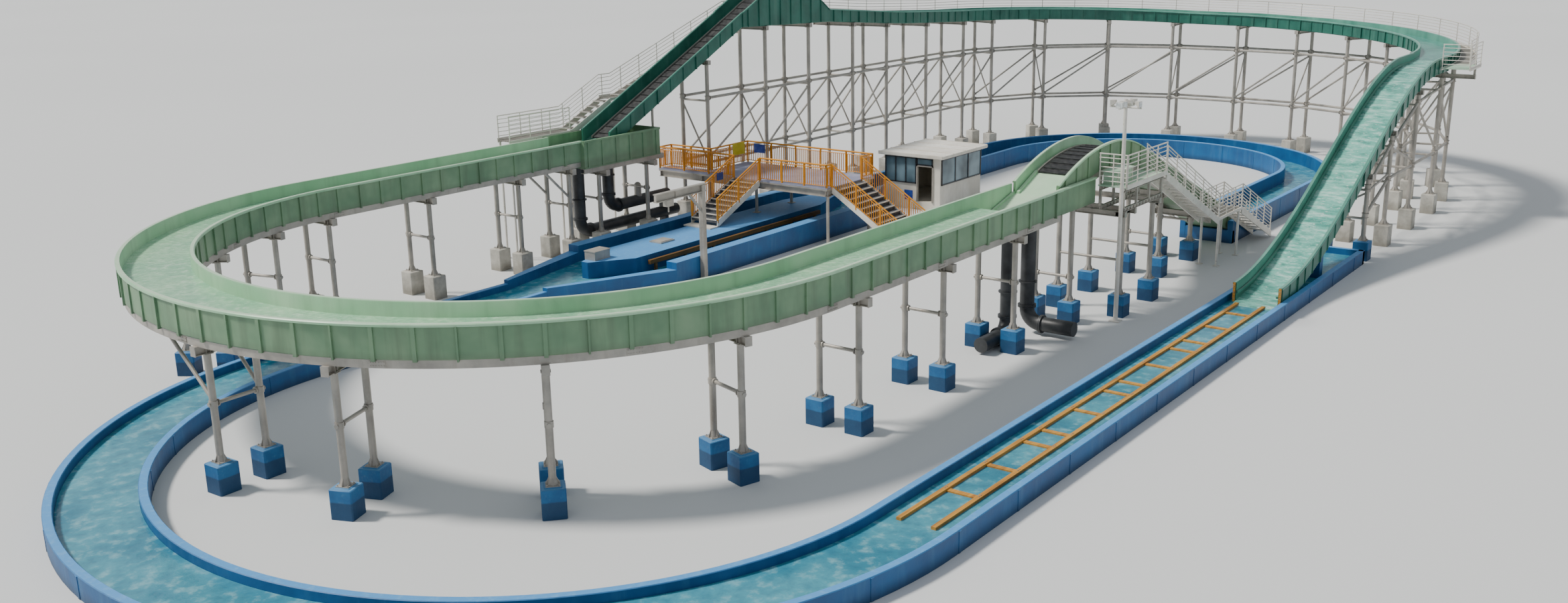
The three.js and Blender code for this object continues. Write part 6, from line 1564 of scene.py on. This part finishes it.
# Feed pipes
# Black pressure pipes come up under the low flume and the sump in swept bends, with bolted
# flanges, and a grey pressure vessel stands on the manifold.
black_pipe = Finish("black_pipe", roughness=0.45)
cloud = black_pipe.patches(1.2)
black_pipe.shades(cloud, (34, 36, 38), (70, 72, 74))
black_pipe.set("Roughness", cloud * 0.3 + 0.3)
PIPE_RADIUS, PIPE_SIDES, PIPE_BEND = 0.27, 20, 0.55
FLANGE_RADIUS = PIPE_RADIUS + 0.07
pipes = Work()


def pipe_run(start, corner, end):
    """A pipe that goes round one swept bend, with a pair of flanges at each end of the bend."""
    a, b, c = (np.array(p, float) for p in (start, corner, end))
    u, v = (a - b) / np.linalg.norm(a - b), (c - b) / np.linalg.norm(c - b)
    centre = b + (u + v) * PIPE_BEND
    turns = np.linspace(0, math.pi / 2, 9)
    bend = [centre - (v * math.cos(t) + u * math.sin(t)) * PIPE_BEND for t in turns]
    path = [a, *bend, c]
    side = np.cross(u, v)
    rings = []
    for i, p in enumerate(path):
        ahead = path[min(i + 1, len(path) - 1)] - path[max(i - 1, 0)]
        out = np.cross(side, ahead / np.linalg.norm(ahead))
        turns = [2 * math.pi * k / PIPE_SIDES for k in range(PIPE_SIDES)]
        rings.append([tuple(p + PIPE_RADIUS * (out * math.cos(t) + side * math.sin(t))) for t in turns])
    pipes.loft(rings)
    for p, way in ((bend[0], u), (bend[-1], v)):
        for away in (0.02, 0.075):
            near = p + way * away
            pipes.tube(near, near + way * 0.045, FLANGE_RADIUS, PIPE_SIDES)


LOW_HEAD, SUMP_HEAD = LOW_UNDER - 0.001, SUMP_UNDER - 0.001
for x, y, top, corner, end_x, end_y in (
    (45.1, FRONT_Y, LOW_HEAD, -0.5, 43.2, FRONT_Y),
    (46.6, FRONT_Y, LOW_HEAD, -0.45, 46.6, 22.3),
    (46.7, BACK_Y, SUMP_HEAD, 0.1, 53.3, BACK_Y),
    (48.6, BACK_Y, SUMP_HEAD, 0.95, 52.7, BACK_Y),
):
    pipe_run((x, y, top), (x, y, corner), (end_x, end_y, corner))
    for z in (corner + 1.5, top - 0.06):
        pipes.upright(Place(x, y), z, z + 0.05, FLANGE_RADIUS, PIPE_SIDES)
pipes.box(Place(52.4, BACK_Y), (-0.1, 0.1), (-0.2, 0.2), (GROUND, 0.8))
pipes.make("feed_pipes", [black_pipe], ["riser_east_1", "riser_east_2", "riser_west"])

VESSEL, VESSEL_RADIUS, SHOULDER_Z = Place(50.6, BACK_Y), 0.17, 1.66
vessel = Work()
dome = [math.pi / 2 * i / 6 for i in range(6)]
profile = [(VESSEL_RADIUS, 1.2)]
profile += [(VESSEL_RADIUS * math.cos(t), SHOULDER_Z + VESSEL_RADIUS * math.sin(t)) for t in dome]
profile += [(0.01, SHOULDER_Z + VESSEL_RADIUS)]
turns = [2 * math.pi * k / 20 for k in range(20)]
vessel.loft([[VESSEL.at(r * math.cos(t), r * math.sin(t), z) for t in turns] for r, z in profile])
vessel.upright(VESSEL, 1.15, 1.21, 0.2, 20)
vessel.make("pressure_vessel", [steel])


# Floor, light and camera
# A plain pale floor under a broad soft light from behind and to the left, and the camera at the
# photograph's viewing angle.
FLOOR_REACH = 450.0
studio_floor = Finish("studio_floor", roughness=0.9)
studio_floor.colour = studio_floor.blend(studio_floor.patches(0.02, 1.0), (214, 216, 216), (222, 224, 224))
studio_floor.set("Base Color", studio_floor.colour)
ground = bpy.data.meshes.new("studio_floor")
corners = [(-1, -1), (1, -1), (1, 1), (-1, 1)]
spots = [(x * FLOOR_REACH, y * FLOOR_REACH, -0.002) for x, y in corners]
ground.from_pydata(spots, [], [(0, 1, 2, 3)])
ground.materials.append(studio_floor.material)
ground_object = bpy.data.objects.new("studio_floor", ground)
bpy.context.collection.objects.link(ground_object)

world = bpy.data.worlds.new("studio")
world.use_nodes = True
world.node_tree.nodes["Background"].inputs[0].default_value = (0.86, 0.92, 1.0, 1.0)
world.node_tree.nodes["Background"].inputs[1].default_value = 0.5
bpy.context.scene.world = world


def direction(heading, height):
    """The direction that points a way on the plan and rises by an angle."""
    level = math.cos(height)
    return Vector((math.cos(heading) * level, math.sin(heading) * level, math.sin(height)))


SUN_HEADING, SUN_HEIGHT = math.radians(125), math.radians(52)
sun = bpy.data.lights.new("studio_sun", "SUN")
sun.energy = 3.9
sun.angle = math.radians(9)
sun.color = (1.0, 0.96, 0.9)
sun_object = bpy.data.objects.new("studio_sun", sun)
sun_object.rotation_mode = "QUATERNION"
sun_object.rotation_quaternion = direction(SUN_HEADING, SUN_HEIGHT).to_track_quat("Z", "Y")
bpy.context.collection.objects.link(sun_object)

CAMERA_AT = np.array([2.271, 1.72, 13.945])
CAMERA_HEADING, CAMERA_DROP, CAMERA_ROLL = (math.radians(a) for a in (37.14, 15.425, -0.931))
FOCAL_SHARE = 2082.1 / 2340
ahead = direction(CAMERA_HEADING, -CAMERA_DROP)
right = direction(CAMERA_HEADING - math.pi / 2, 0)
up = right.cross(ahead)
rolled_right = right * math.cos(CAMERA_ROLL) + up * math.sin(CAMERA_ROLL)
rolled_up = up * math.cos(CAMERA_ROLL) - right * math.sin(CAMERA_ROLL)
camera = bpy.data.cameras.new("camera")
camera.sensor_fit = "HORIZONTAL"
camera.sensor_width = 36.0
camera.lens = 36.0 * FOCAL_SHARE
camera.clip_end = 2000.0
camera_object = bpy.data.objects.new("camera", camera)
axes = Matrix((rolled_right, rolled_up, -ahead)).transposed().to_4x4()
axes.translation = Vector((CAMERA_AT - PLAN_ORIGIN) * MODEL_SCALE)
camera_object.matrix_world = axes
bpy.context.collection.objects.link(camera_object)
bpy.context.scene.camera = camera_object
